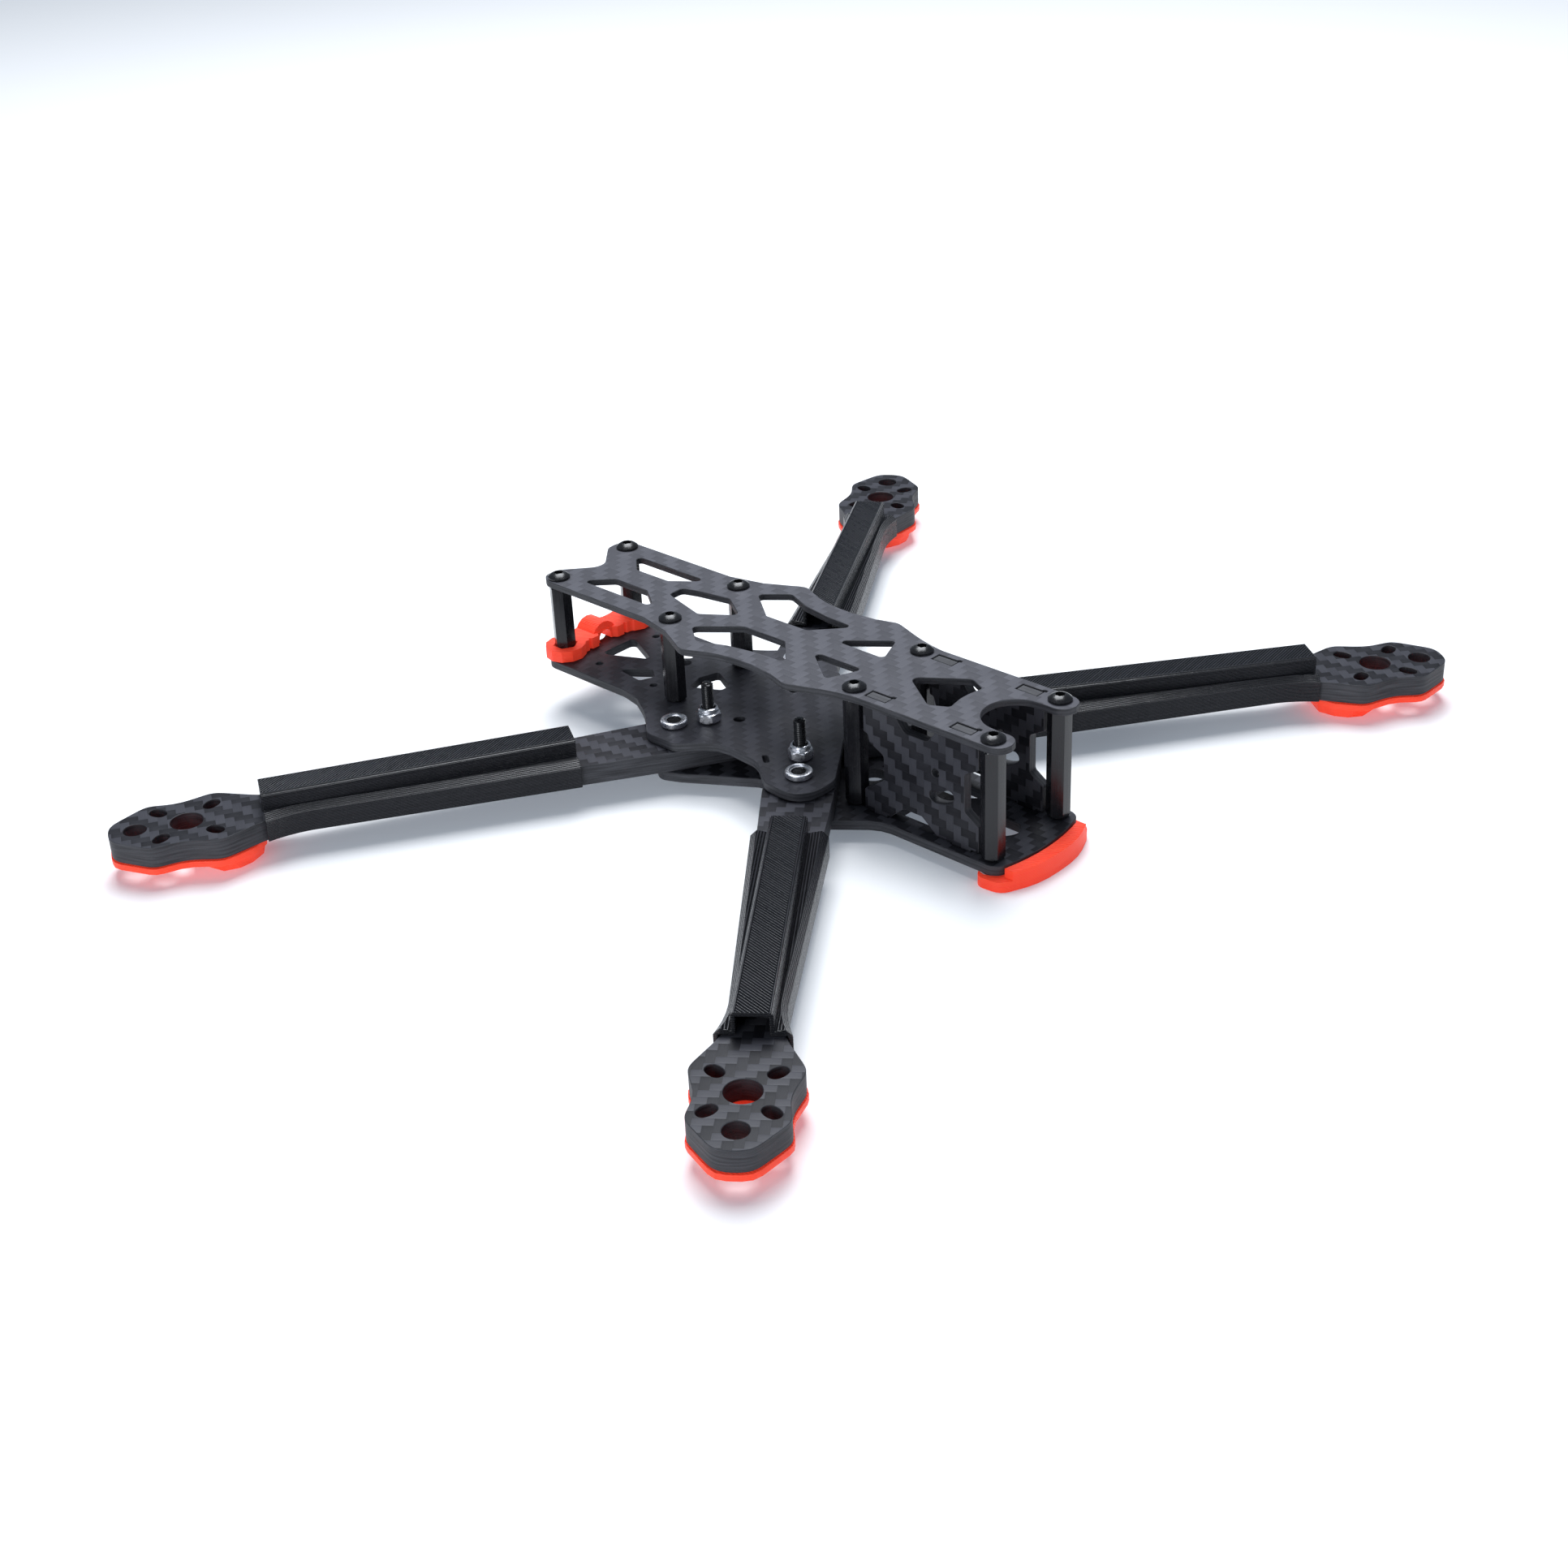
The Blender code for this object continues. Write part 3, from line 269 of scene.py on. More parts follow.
def cut_edge():
    material, tree, shader = new_material("carbon_cut_edge", ior=EDGE_IOR)
    run, depth, _ = tree.split(tree.node("ShaderNodeUVMap", {"uv_map": "sheet"}))
    sway = tree.noise(tree.vector(run * 0.16, depth * 0.4))
    level = (depth + (sway - 0.5) * 0.5) / PLY
    ply_line = level.math("FRACT").from_middle() ** 2.0
    bundle = tree.noise(tree.vector(run * 0.10, level * 0.55))
    grain = tree.noise(tree.vector(run * 3.2, depth * 7.0))
    shade = (bundle - 0.32) * 1.5 + ply_line * 0.18 + (grain - 0.5) * 0.5
    colour = mix_colours(tree, shade.clamped(), EDGE_DARK, EDGE_LIGHT)
    height = grain * 0.6 - ply_line * 0.4 + bundle * 0.5
    feed(tree, shader, base_color=colour, roughness=0.52 + grain * 0.14,
         normal=bump(tree, height, EDGE_DEPTH))
    return material


edge = cut_edge()
print("cut edge: plies", PLY, "mm thick")

# %% [markdown]
# ## Printed parts
# The guards, pads, bumper and holder are printed in flexible plastic. A printer lays round beads: on
# upright walls they stack up as fine level lines, and on a flat top they run in parallel diagonal strokes
# inside a border of beads that follow the edge. One material makes both, and picks by the way the
# surface faces. The piece's own plan coordinates turn the strokes with each arm. Besides their bump, the
# bead crowns are painted lighter and the grooves darker, a painted highlight and painted shade.

# %% Printed plastic material
BEAD = 0.66
LAYER = 0.30
LEVEL_FROM = 0.85
WOBBLE_SCALE = 260.0
GUARD_BORDER = 3.3
# Each dark and light pair spans the painted shade in the grooves and the painted highlight on the bead
# crowns.
BLACK_DARK = (0.0003, 0.0003, 0.0006)
BLACK_LIGHT = (0.0300, 0.0300, 0.0360)
RED_DARK = (0.80, 0.014, 0.006)
RED_LIGHT = (1.0, 0.100, 0.038)
RED_PAINTED_GLOW = (1.0, 0.07, 0.035, 1.0)


def printed(name, dark, light, roughness, shine, depth, border=None):
    """Printed plastic; border is the half width beyond which the top's beads follow the edge."""
    material, tree, shader = new_material(name, specular_ior_level=shine)
    place = tree.node("ShaderNodeTexCoord").out("Object")
    _, _, place_z = tree.split(place)
    _, _, facing_up = tree.split(tree.node("ShaderNodeTexCoord").out("Normal"))
    run, side, _ = tree.split(tree.node("ShaderNodeUVMap", {"uv_map": "plan"}))
    level = facing_up.math("ABSOLUTE").math("GREATER_THAN", LEVEL_FROM)
    upright = 1.0 - level
    wobble = tree.noise(place, WOBBLE_SCALE)
    strokes = (run - side + (wobble - 0.5) * 0.25) / (BEAD * math.sqrt(2.0))
    if border:
        rim = side.math("ABSOLUTE").math("GREATER_THAN", border)
        strokes = rim * (side / BEAD) + (1.0 - rim) * strokes
    layers = place_z / (LAYER * MM) + (wobble - 0.5) * 0.35
    count = level * strokes + upright * layers
    ridge = count.math("FRACT").from_middle() ** 2.0
    bead_tone = tree.node("ShaderNodeTexWhiteNoise", {"noise_dimensions": "1D"}, {
        "W": count.math("FLOOR")}).out("Value")
    drag = tree.noise(tree.vector(run * 0.35, count.math("FLOOR") * 3.7, side * 0.35), detail=3.0)
    # Each bead's crown is painted lighter and its groove darker: a painted highlight along the beads and
    # painted shade between them. The tone of each bead and the drag are real variation.
    shade = drag * 0.15 + bead_tone * 0.20 + (1.0 - ridge) * 0.80 - 0.25
    colour = mix_colours(tree, shade.clamped(), dark, light)
    gloss = roughness + (drag - 0.5) * 0.16 + bead_tone * 0.08 + level * 0.05
    height = (1.0 - ridge) * (0.30 + level * 0.70) + drag * 0.25
    feed(tree, shader, base_color=colour, roughness=gloss, normal=bump(tree, height, depth))
    return material, shader


black_print, _ = printed("black_print", BLACK_DARK, BLACK_LIGHT, 0.21, 0.38, 0.42, GUARD_BORDER)
red_print, red_shader = printed("red_print", RED_DARK, RED_LIGHT, 0.42, 0.30, 0.14)
# The red print glows faintly of its own, a painted light that stands in for light passing through the
# plastic; the subsurface scattering beside it lets real light through.
for socket_name, value in (("Emission Color", RED_PAINTED_GLOW), ("Emission Strength", 0.28),
                           ("Subsurface Weight", 0.35), ("Subsurface Radius", (1.0, 0.12, 0.06)),
                           ("Subsurface Scale", 2.5 * MM)):
    red_shader.inputs[socket_name].default_value = value
print("printed plastic: beads", BEAD, "mm, layers", LAYER, "mm")

# %% [markdown]
# ## Metals
# The pillars are black anodised aluminium with faint lengthwise drawing marks. The screws are steel with
# a glossy black oxide, and the nuts are bright zinc plate, slightly clouded.

# %% Metal materials
MARK_SCALE = 2400.0
STAIN_SCALE = 420.0
SCRATCH_DEPTH = 0.02


def metal(name, dark, light, roughness, metallic, stretch):
    """Metal with marks that are stretched along the vertical when stretch is below one."""
    material, tree, shader = new_material(name, metallic=metallic)
    place = tree.node("ShaderNodeTexCoord").out("Object")
    squeezed = tree.node("ShaderNodeMapping", {}, {"Vector": place, "Scale": (1.0, 1.0, stretch)})
    marks = tree.noise(squeezed, MARK_SCALE, 3.0)
    stain = tree.noise(place, STAIN_SCALE)
    colour = mix_colours(tree, marks * 0.5 + stain * 0.5, dark, light)
    feed(tree, shader, base_color=colour, roughness=roughness + (marks - 0.5) * 0.16 + (stain - 0.5) * 0.14,
         normal=bump(tree, marks, SCRATCH_DEPTH))
    return material


anodised = metal("black_anodised", (0.004, 0.004, 0.006), (0.013, 0.013, 0.016), 0.24, 0.2, 0.02)
oxide = metal("black_oxide", (0.006, 0.006, 0.007), (0.018, 0.018, 0.020), 0.25, 0.2, 1.0)
zinc = metal("zinc_plate", (0.66, 0.67, 0.71), (0.86, 0.87, 0.91), 0.30, 1.0, 1.0)
print("metals:", anodised.name, oxide.name, zinc.name)

# %% [markdown]
# ## Finished sheets
# A plate in CAD is a slab with sharp rims and short straight strokes in place of curves. On the real one
# the outline is a smooth cut and the rim is broken by a fine chamfer, which catches the light. So each
# plate is cut again: its outline is read from the CAD face, curved through the same points, and given a
# chamfer. The sheet coordinates are kept on the mesh for the weave.

# %% Reading the outlines of a CAD plate
CORNER = math.radians(50.0)
LONG_STROKE = 3.2
BEND_ON_LONG_STROKE = math.radians(10.0)
UNEVEN = 2.2
ROUND_SPREAD = 1.02
CURVE_STEP = 0.7
MELT_STEP = 0.5


def plate_frame(name, along=(1.0, 0.0, 0.0), up=(0.0, 0.0, 1.0), origin=(0.0, 0.0, 0.0)):
    """The node, and the place and directions of its sheet."""
    along, up = Vector(along).normalized(), Vector(up)
    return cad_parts[name], Vector(origin), along, up.cross(along), up


def face_loops(node, origin, along, across, up):
    """Closed outlines of the node's top face, in mm in the sheet's frame, and the two face levels."""
    points = [node.matrix_world @ vertex.co - origin for vertex in node.data.vertices]
    flat = [(p.dot(along) / MM, p.dot(across) / MM) for p in points]
    level = [p.dot(up) / MM for p in points]
    top, bottom = max(level), min(level)
    keys = [(round(a, 3), round(b, 3)) for a, b in flat]
    directed = set()
    for face in node.data.polygons:
        if face.normal.dot(up) > 0.99 and all(abs(level[v] - top) < 0.02 for v in face.vertices):
            ring = [keys[v] for v in face.vertices]
            directed.update(zip(ring, ring[1:] + ring[:1]))
    following = {a: b for a, b in directed if (b, a) not in directed}
    loops = []
    while following:
        start, after = next(iter(sorted(following.items())))
        loop = [start]
        while after != start:
            loop.append(after)
            after = following.pop(after)
        following.pop(start)
        loops.append([Vector(p) for p in loop])
    return loops, top, bottom


def tangents(loop):
    """A direction at each point where the outline runs smoothly, and None at a corner."""
    found = []
    for index, point in enumerate(loop):
        before = point - loop[index - 1]
        after = loop[(index + 1) % len(loop)] - point
        size_in, size_out = before.length, after.length
        turn = abs(before.angle(after, 0.0)) if size_in and size_out else 0.0
        both_long = size_in > LONG_STROKE and size_out > LONG_STROKE
        if turn > CORNER or (both_long and turn > BEND_ON_LONG_STROKE):
            found.append(None)
        elif size_in > UNEVEN * size_out:
            found.append(before.normalized())
        elif size_out > UNEVEN * size_in:
            found.append(after.normalized())
        else:
            found.append((before / size_in * size_out + after / size_out * size_in).normalized())
    return found


def round_loop(loop, centre, radius):
    """An even circle that starts at the loop's first point and goes round the same way."""
    first = loop[0] - centre
    start = math.atan2(first.y, first.x)
    sense = 1.0 if loop[0].cross(loop[1]) - centre.cross(loop[1] - loop[0]) > 0.0 else -1.0
    count = max(24, int(radius * 9.0))
    return [centre + radius * Vector((math.cos(start + sense * 2.0 * math.pi * k / count),
                                      math.sin(start + sense * 2.0 * math.pi * k / count)))
            for k in range(count)]


def smooth_loop(loop):
    """The same outline with its short straight strokes turned into curves."""
    centre = sum(loop, Vector((0.0, 0.0))) / len(loop)
    reaches = [(point - centre).length for point in loop]
    if len(loop) >= 8 and max(reaches) < ROUND_SPREAD * min(reaches):
        return round_loop(loop, centre, sum(reaches) / len(reaches) * math.cos(math.pi / len(loop)))
    directions = tangents(loop)
    curved = []
    for index, point in enumerate(loop):
        following = loop[(index + 1) % len(loop)]
        span = following - point
        straight = span.normalized()
        lead = directions[index] or straight
        trail = directions[(index + 1) % len(loop)] or straight
        curved.append(point)
        if lead.dot(straight) > 0.9999 and trail.dot(straight) > 0.9999:
            continue
        pieces = max(2, min(8, int(span.length / CURVE_STEP) + 2))
        for k in range(1, pieces):
            t = k / pieces
            curved.append(point * (2 * t ** 3 - 3 * t ** 2 + 1)
                          + lead * span.length * (t ** 3 - 2 * t ** 2 + t)
                          + following * (3 * t ** 2 - 2 * t ** 3)
                          + trail * span.length * (t ** 3 - t ** 2))
    return curved


def melt_loop(loop, spread):
    """The outline in even steps, with each point averaged over its neighbours within the spread."""
    even = []
    for start, end in zip(loop, loop[1:] + loop[:1]):
        count = max(1, round((end - start).length / MELT_STEP))
        even.extend(start.lerp(end, k / count) for k in range(count))
    reach = round(2.0 * spread / MELT_STEP)
    weights = {k: math.exp(-0.5 * (k * MELT_STEP / spread) ** 2) for k in range(-reach, reach + 1)}
    total = sum(weights.values())
    melted = []
    for index in range(len(even)):
        near = (even[(index + k) % len(even)] * weight for k, weight in weights.items())
        melted.append(sum(near, Vector((0.0, 0.0))) / total)
    return melted


def shrink_loop(loop, amount):
    """The outline moved into the material by a small amount."""
    moved = []
    for index, point in enumerate(loop):
        before = (point - loop[index - 1]).normalized()
        after = (loop[(index + 1) % len(loop)] - point).normalized()
        left = Vector((-before.y, before.x)) + Vector((-after.y, after.x))
        size = left.length_squared
        moved.append(point + left * (2.0 * amount / size if size > 0.4 else 0.0))
    return moved


# %% [markdown]
# The slab is rebuilt from those outlines: a face, a fine chamfer, the wall, another chamfer and the
# other face. The face takes the twill and the rest takes the cut edge.

# %% Building a finished sheet
CHAMFER = 0.13


def new_piece(name, mesh, body, slot, *nodes):
    """Put a finished mesh in the scene, riding on its body in place of its CAD nodes."""
    piece = bpy.data.objects.new(name, mesh)
    bpy.context.scene.collection.objects.link(piece)
    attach(piece, body)
    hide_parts(*nodes)


def soften(mesh, degrees=35.0):
    """Shade smoothly, except over edges that turn by more than the angle."""
    mesh.shade_smooth()
    mesh.set_sharp_from_angle(angle=math.radians(degrees))


def finished_sheet(name, twill, along=(1.0, 0.0, 0.0), up=(0.0, 0.0, 1.0), origin=(0.0, 0.0, 0.0),
                   melt=0.0):
    """Cut a plate again with curved outlines and a chamfer; melt is how far corners are rounded, in mm."""
    node, origin, along, across, up = plate_frame(name, along, up, origin)
    loops, top, bottom = face_loops(node, origin, along, across, up)
    outlines = [smooth_loop(loop) for loop in loops]
    if melt:
        longest = max(range(len(loops)), key=lambda index: len(loops[index]))
        outlines[longest] = melt_loop(outlines[longest], melt)
    insets = [shrink_loop(loop, CHAMFER) for loop in outlines]
    bm = bmesh.new()
    uv = bm.loops.layers.uv.new("sheet")

    def place(point, level):
        return bm.verts.new(origin + (along * point.x + across * point.y + up * level) * MM)

    def cap(level, flip):
        corners = [place(point, level) for loop in insets for point in loop]
        flat = [point for loop in insets for point in loop]
        for triple in tessellate_polygon([[point.to_3d() for point in loop] for loop in insets]):
            a, b, c = (flat[i] for i in triple)
            if abs((b - a).cross(c - a)) < 1e-9:
                continue
            upwards = (b - a).cross(c - a) > 0.0
            order = triple if upwards != flip else tuple(reversed(triple))
            face = bm.faces.new([corners[i] for i in order])
            for loop, index in zip(face.loops, order):
                loop[uv].uv = flat[index]
        return corners

    upper = cap(top, False)
    lower = cap(bottom, True)
    start = 0
    for outline in outlines:
        count = len(outline)
        rims = [upper[start:start + count], [place(point, top - CHAMFER) for point in outline],
                [place(point, bottom + CHAMFER) for point in outline], lower[start:start + count]]
        depths = (0.0, CHAMFER, top - bottom - CHAMFER, top - bottom)
        runs = [0.0]
        for index in range(count):
            runs.append(runs[-1] + (outline[(index + 1) % count] - outline[index]).length)
        for (near, far), (d0, d1) in zip(zip(rims, rims[1:]), zip(depths, depths[1:])):
            for index in range(count):
                after = (index + 1) % count
                face = bm.faces.new((near[index], far[index], far[after], near[after]))
                face.material_index = 1
                for loop, place_uv in zip(face.loops, ((runs[index], d0), (runs[index], d1),
                                                       (runs[index + 1], d1), (runs[index + 1], d0))):
                    loop[uv].uv = place_uv
        start += count
    mesh = bpy.data.meshes.new(name + "_finished")
    bm.to_mesh(mesh)
    bm.free()
    mesh.materials.append(twill)
    mesh.materials.append(edge)
    soften(mesh)
    new_piece(name + "_finished", mesh, "frame", "carbon", name)
    print(f"{name}: {len(outlines)} outlines, {len(mesh.polygons)} faces")


# %% [markdown]
# ## Plates and arms
# The flat plates lie in the frame's own directions. The side plates stand up, so their sheet runs along
# the craft and up. Each arm is cut with the weave in line with the arm, so its sheet turns with it.

# %% Plates
# The top plate takes the twill with the painted sheen.
finished_sheet("top_plate", lit_sheen_twill)
# The middle plate takes the twill in painted shade.
finished_sheet("middle_plate", shaded_twill)
finished_sheet("bottom_plate", clear_twill)
finished_sheet("side_plate_right", clear_twill, up=(0.0, -1.0, 0.0))
finished_sheet("side_plate_left", clear_twill, up=(0.0, 1.0, 0.0))

# %% Arms
ARM_MELT = 1.3
MOTOR_X = {"front": 85.96 * MM, "rear": -85.96 * MM}
MOTOR_Y = {"front": 115.82 * MM, "rear": 123.91 * MM}
ROOT_X = {"front": -2.28 * MM, "rear": -12.98 * MM}
arms = {}
for end in ("front", "rear"):
    for side, sign in (("right", -1.0), ("left", 1.0)):
        seat = Vector((MOTOR_X[end], sign * MOTOR_Y[end], 0.0))
        arms[end + "_" + side] = (seat, (seat - Vector((ROOT_X[end], 0.0, 0.0))).normalized())
for label, (seat, heading) in arms.items():
    finished_sheet("arm_" + label, clear_twill, along=heading, origin=seat, melt=ARM_MELT)


# %% [markdown]
# ## Printed pieces
# A printed piece keeps its CAD form. A copy of the node is merged into one skin, its flat parts are
# joined, and its edges are rounded by a bead's width. Its plan coordinates run along its own arm.

# %% Rounding a printed piece
MERGE_WITHIN = 0.002
FLAT_WITHIN = math.radians(1.0)
ROUND_FROM = math.radians(28.0)


def printed_piece(name, body, slot, material, heading=(1.0, 0.0, 0.0), origin=(0.0, 0.0, 0.0),
                  rounding=0.3):
    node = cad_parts[name]
    along = Vector(heading).normalized()
    across = Vector((-along.y, along.x, 0.0))
    bm = bmesh.new()
    bm.from_mesh(node.data)
    bmesh.ops.remove_doubles(bm, verts=bm.verts, dist=MERGE_WITHIN * MM)
    bmesh.ops.dissolve_limit(bm, angle_limit=FLAT_WITHIN, verts=bm.verts, edges=bm.edges)
    sharp = [e for e in bm.edges if len(e.link_faces) == 2 and e.calc_face_angle(0.0) > ROUND_FROM]
    bmesh.ops.bevel(bm, geom=sharp, offset=rounding * MM, segments=3, profile=0.6, affect="EDGES",
                    clamp_overlap=True)
    bmesh.ops.triangulate(bm, faces=[f for f in bm.faces if len(f.verts) > 4])
    uv = bm.loops.layers.uv.new("plan")
    for face in bm.faces:
        for loop in face.loops:
            offset = loop.vert.co - Vector(origin)
            loop[uv].uv = (offset.dot(along) / MM, offset.dot(across) / MM)
    mesh = bpy.data.meshes.new(name + "_printed")
    bm.to_mesh(mesh)
    bm.free()
    mesh.materials.append(material)
    soften(mesh, 40.0)
    new_piece(name + "_printed", mesh, body, slot, name)
    print(f"{name}: {len(mesh.polygons)} faces")


# %% Guards, pads, bumper and holder
for label, (seat, heading) in arms.items():
    printed_piece("arm_guard_" + label, "guard_" + label, "black_print", black_print, heading, seat, 0.22)
    printed_piece("motor_pad_" + label, "frame", "red_print", red_print, heading, seat, 0.35)
printed_piece("nose_bumper", "frame", "red_print", red_print, rounding=0.45)
printed_piece("antenna_holder", "holder", "red_print", red_print)


# %% [markdown]
# ## Fasteners with Geometry Nodes
# Every screw, pillar and nut repeats, so each kind is one small tree. The tree shapes one item and
# copies it to a set of points, which are the tops of the CAD nodes that it stands for. The sizes are
# named inputs. Copies are made real and given their material at the end, and the result becomes a
# plain mesh, because a model file can't hold instances.

# %% A tree with named inputs
class ShapeTree(Tree):
    """A Geometry Nodes tree whose sizes are named inputs."""

    def __init__(self, name, **sizes):
        self.group = bpy.data.node_groups.new(name, "GeometryNodeTree")
        super().__init__(self.group.nodes, self.group.links)
        panel = self.group.interface
        panel.new_socket("Geometry", in_out="INPUT", socket_type="NodeSocketGeometry")
        panel.new_socket("Geometry", in_out="OUTPUT", socket_type="NodeSocketGeometry")
        for key, value in sizes.items():
            socket = panel.new_socket(key, in_out="INPUT", socket_type="NodeSocketFloat")
            socket.default_value = value
        self.inputs = self.nodes.new("NodeGroupInput")

    def size(self, key):
        return Wire(self, self.inputs.outputs[key])

    def finish(self, shape, material):
        copies = self.node("GeometryNodeInstanceOnPoints", {}, {
            "Points": self.size("Geometry"), "Instance": shape})
        real = self.node("GeometryNodeRealizeInstances", {}, {"Geometry": copies})
        coated = self.node("GeometryNodeSetMaterial", {}, {"Geometry": real, "Material": material})
        self.node("NodeGroupOutput", {}, {"Geometry": coated})


def grow(tree, places, name, nodes, slot, degrees=32.0, flip=False, **sizes):
    """Run a tree on a set of points and keep the result as one plain mesh on the frame."""
    mesh = bpy.data.meshes.new(name + "_points")
    mesh.from_pydata([tuple(place) for place in places], [], [])
    seed = bpy.data.objects.new(name + "_points", mesh)
    bpy.context.scene.collection.objects.link(seed)
    modifier = seed.modifiers.new("shape", "NODES")
    modifier.node_group = tree.group
    for item in tree.group.interface.items_tree:
        if item.item_type == "SOCKET" and item.in_out == "INPUT" and item.name in sizes:
            modifier[item.identifier] = sizes[item.name]
    graph = bpy.context.evaluated_depsgraph_get()
    made = bpy.data.meshes.new_from_object(seed.evaluated_get(graph), depsgraph=graph)
    bpy.data.objects.remove(seed, do_unlink=True)
    made.name = name
    soften(made, degrees)
    new_piece(name, made, "frame", slot, *nodes)
    print(f"{name}: {len(places)} copies, {len(made.polygons)} faces")


def tops(prefix):
    """Names and top centres of the CAD nodes whose names start with a prefix."""
    names = sorted(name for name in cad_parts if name.startswith(prefix))
    places = []
    for name in names:
        low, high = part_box(name)
        places.append(Vector(((low.x + high.x) / 2.0, (low.y + high.y) / 2.0, high.z)))
    return names, places


def bottoms(prefix):
    names, places = tops(prefix)
    return names, [Vector((place.x, place.y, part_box(name)[0].z)) for name, place in zip(names, places)]


# %% [markdown]
# ### Button screws
# A button screw has a low dome with a hexagon socket. The tree starts from a drum, bows its top by a
# rule on the distance from the axis, cuts the socket with a six sided drum, and adds the shank. A sign
# input turns the screw over for the ones that come from below.

# %% Button screw tree
HEAD_RADIUS = 2.85
HEAD_HEIGHT = 1.35
DOME_DROP = 0.80
DOME_POWER = 2.6
KEY_WIDTH = 2.15
KEY_DEPTH = 1.25
SHANK_RADIUS = 1.5
SHANK_LENGTH = 7.0


def button_screw_tree():
    tree = ShapeTree("button_screw", HeadRadius=HEAD_RADIUS, HeadHeight=HEAD_HEIGHT, KeyWidth=KEY_WIDTH,
                     KeyDepth=KEY_DEPTH, ShankRadius=SHANK_RADIUS, ShankLength=SHANK_LENGTH, Sign=1.0)
    head_r = tree.size("HeadRadius") * MM
    head_h = tree.size("HeadHeight") * MM
    drum = tree.node("GeometryNodeMeshCylinder", {"fill_type": "TRIANGLE_FAN"}, {
        "Vertices": 40, "Side Segments": 2, "Fill Segments": 9, "Radius": head_r, "Depth": head_h})
    x, y, z = tree.split(tree.node("GeometryNodeInputPosition"))
    reach = (x * x + y * y).math("SQRT") / head_r
    share = (z / head_h + 0.5).math("MAXIMUM", 0.0)
    domed = share * (1.0 - DOME_DROP * reach ** DOME_POWER) - 1.0
    bowed = tree.node("GeometryNodeSetPosition", {}, {
        "Geometry": drum, "Position": tree.vector(x, y, domed * head_h)})
    key_radius = tree.size("KeyWidth") * (MM / 2.0 / math.cos(math.pi / 6.0))
    key_hole = tree.node("GeometryNodeMeshCylinder", {}, {
        "Vertices": 6, "Radius": key_radius, "Depth": tree.size("KeyDepth") * (2.0 * MM)})
    cut = tree.node("GeometryNodeMeshBoolean", {"operation": "DIFFERENCE", "solver": "EXACT"},
                    {"Mesh 1": bowed, "Mesh 2": key_hole})
    length = tree.size("ShankLength") * MM
    rod = tree.node("GeometryNodeMeshCylinder", {}, {
        "Vertices": 24, "Radius": tree.size("ShankRadius") * MM, "Depth": length})
    lowered = tree.node("GeometryNodeTransform", {}, {
        "Geometry": rod, "Translation": tree.vector(z=length * -0.5 - head_h)})
    both = tree.node("GeometryNodeJoinGeometry", {}, {"Geometry": cut})
    tree.links.new(lowered.socket, both.socket.node.inputs["Geometry"])
    turned = tree.node("GeometryNodeTransform", {}, {
        "Geometry": both, "Rotation": tree.vector(x=(1.0 - tree.size("Sign")) * (math.pi / 2.0))})
    tree.finish(turned, oxide)
    return tree


button_screw = button_screw_tree()
names, places = tops("top_screw")
grow(button_screw, places, "top_button_screws", names, "black_steel")
names, places = bottoms("lower_screw")
grow(button_screw, places, "lower_button_screws", names, "black_steel", Sign=-1.0)
names, places = bottoms("clamp_screw")
clamp_low, clamp_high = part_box("clamp_screw_front_left")
grow(button_screw, places, "clamp_button_screws", names, "black_steel", Sign=-1.0,
     ShankLength=(clamp_high.z - clamp_low.z) / MM - HEAD_HEIGHT)


# %% [markdown]
# ### Threaded stack screws
# The long screws stand up through the middle plate and show their thread. A thread is a ridge that
# climbs as it goes round, so the tree moves each point of a fine drum in or out by its height plus its
# angle. The screw's head is below the plates and is the same as before.

# %% Threaded rod tree
THREAD_PITCH = 0.5
THREAD_DEPTH = 0.26
TIP_TAPER = 0.45


def threaded_rod_tree():
    tree = ShapeTree("threaded_rod", Radius=SHANK_RADIUS, Depth=THREAD_DEPTH, Length=20.0,
                     Pitch=THREAD_PITCH)
    length = tree.size("Length") * MM
    radius = tree.size("Radius") * MM
    drum = tree.node("GeometryNodeMeshCylinder", {}, {
        "Vertices": 28, "Side Segments": 170, "Radius": radius, "Depth": length})
    x, y, z = tree.split(tree.node("GeometryNodeInputPosition"))
    angle = y.math("ARCTAN2", x) / (2.0 * math.pi)
    climb = (z / (tree.size("Pitch") * MM) + angle).math("FLOORED_MODULO", 1.0)
    valley = climb.from_middle() ** 1.4
    from_tip = (length * 0.5 - z) / MM
    taper = (TIP_TAPER - from_tip).math("MAXIMUM", 0.0)
    shrink = 1.0 - (valley * tree.size("Depth") + taper) * MM / radius
    moved = tree.node("GeometryNodeSetPosition", {}, {
        "Geometry": drum, "Position": tree.vector(x * shrink, y * shrink, z - length * 0.5)})
    tree.finish(moved, oxide)
    return tree


names, places = tops("stack_screw")
rod_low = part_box(names[0])[0].z + HEAD_HEIGHT * MM
rod_length = (places[0].z - rod_low) / MM
grow(threaded_rod_tree(), places, "stack_threads", names, "black_steel", degrees=60.0,
     Length=rod_length)
heads = [Vector((place.x, place.y, rod_low - HEAD_HEIGHT * MM)) for place in places]
grow(button_screw, heads, "stack_screw_heads", names, "black_steel", Sign=-1.0, ShankLength=1.0)


# %% [markdown]
# ### Turned and hexagonal parts
# Pillars and nuts are stacks of rings, each ring round or hexagonal. A tree can take such a shape from a
# ready mesh, so the rings are joined in code and the tree only copies them to their places.

# %% Stacks of rings
def ring_points(radius, level, flats, sides=48):
    """One ring in mm: round, or a hexagon whose width across flats is twice the radius."""
    points = []
    for index in range(sides):
        angle = 2.0 * math.pi * index / sides
        reach = radius
        if flats:
            within = (angle + math.pi / 6.0) % (math.pi / 3.0) - math.pi / 6.0
            reach = min(radius / math.cos(within), radius * flats)
        points.append(Vector((reach * math.cos(angle), reach * math.sin(angle), level)) * MM)
    return points


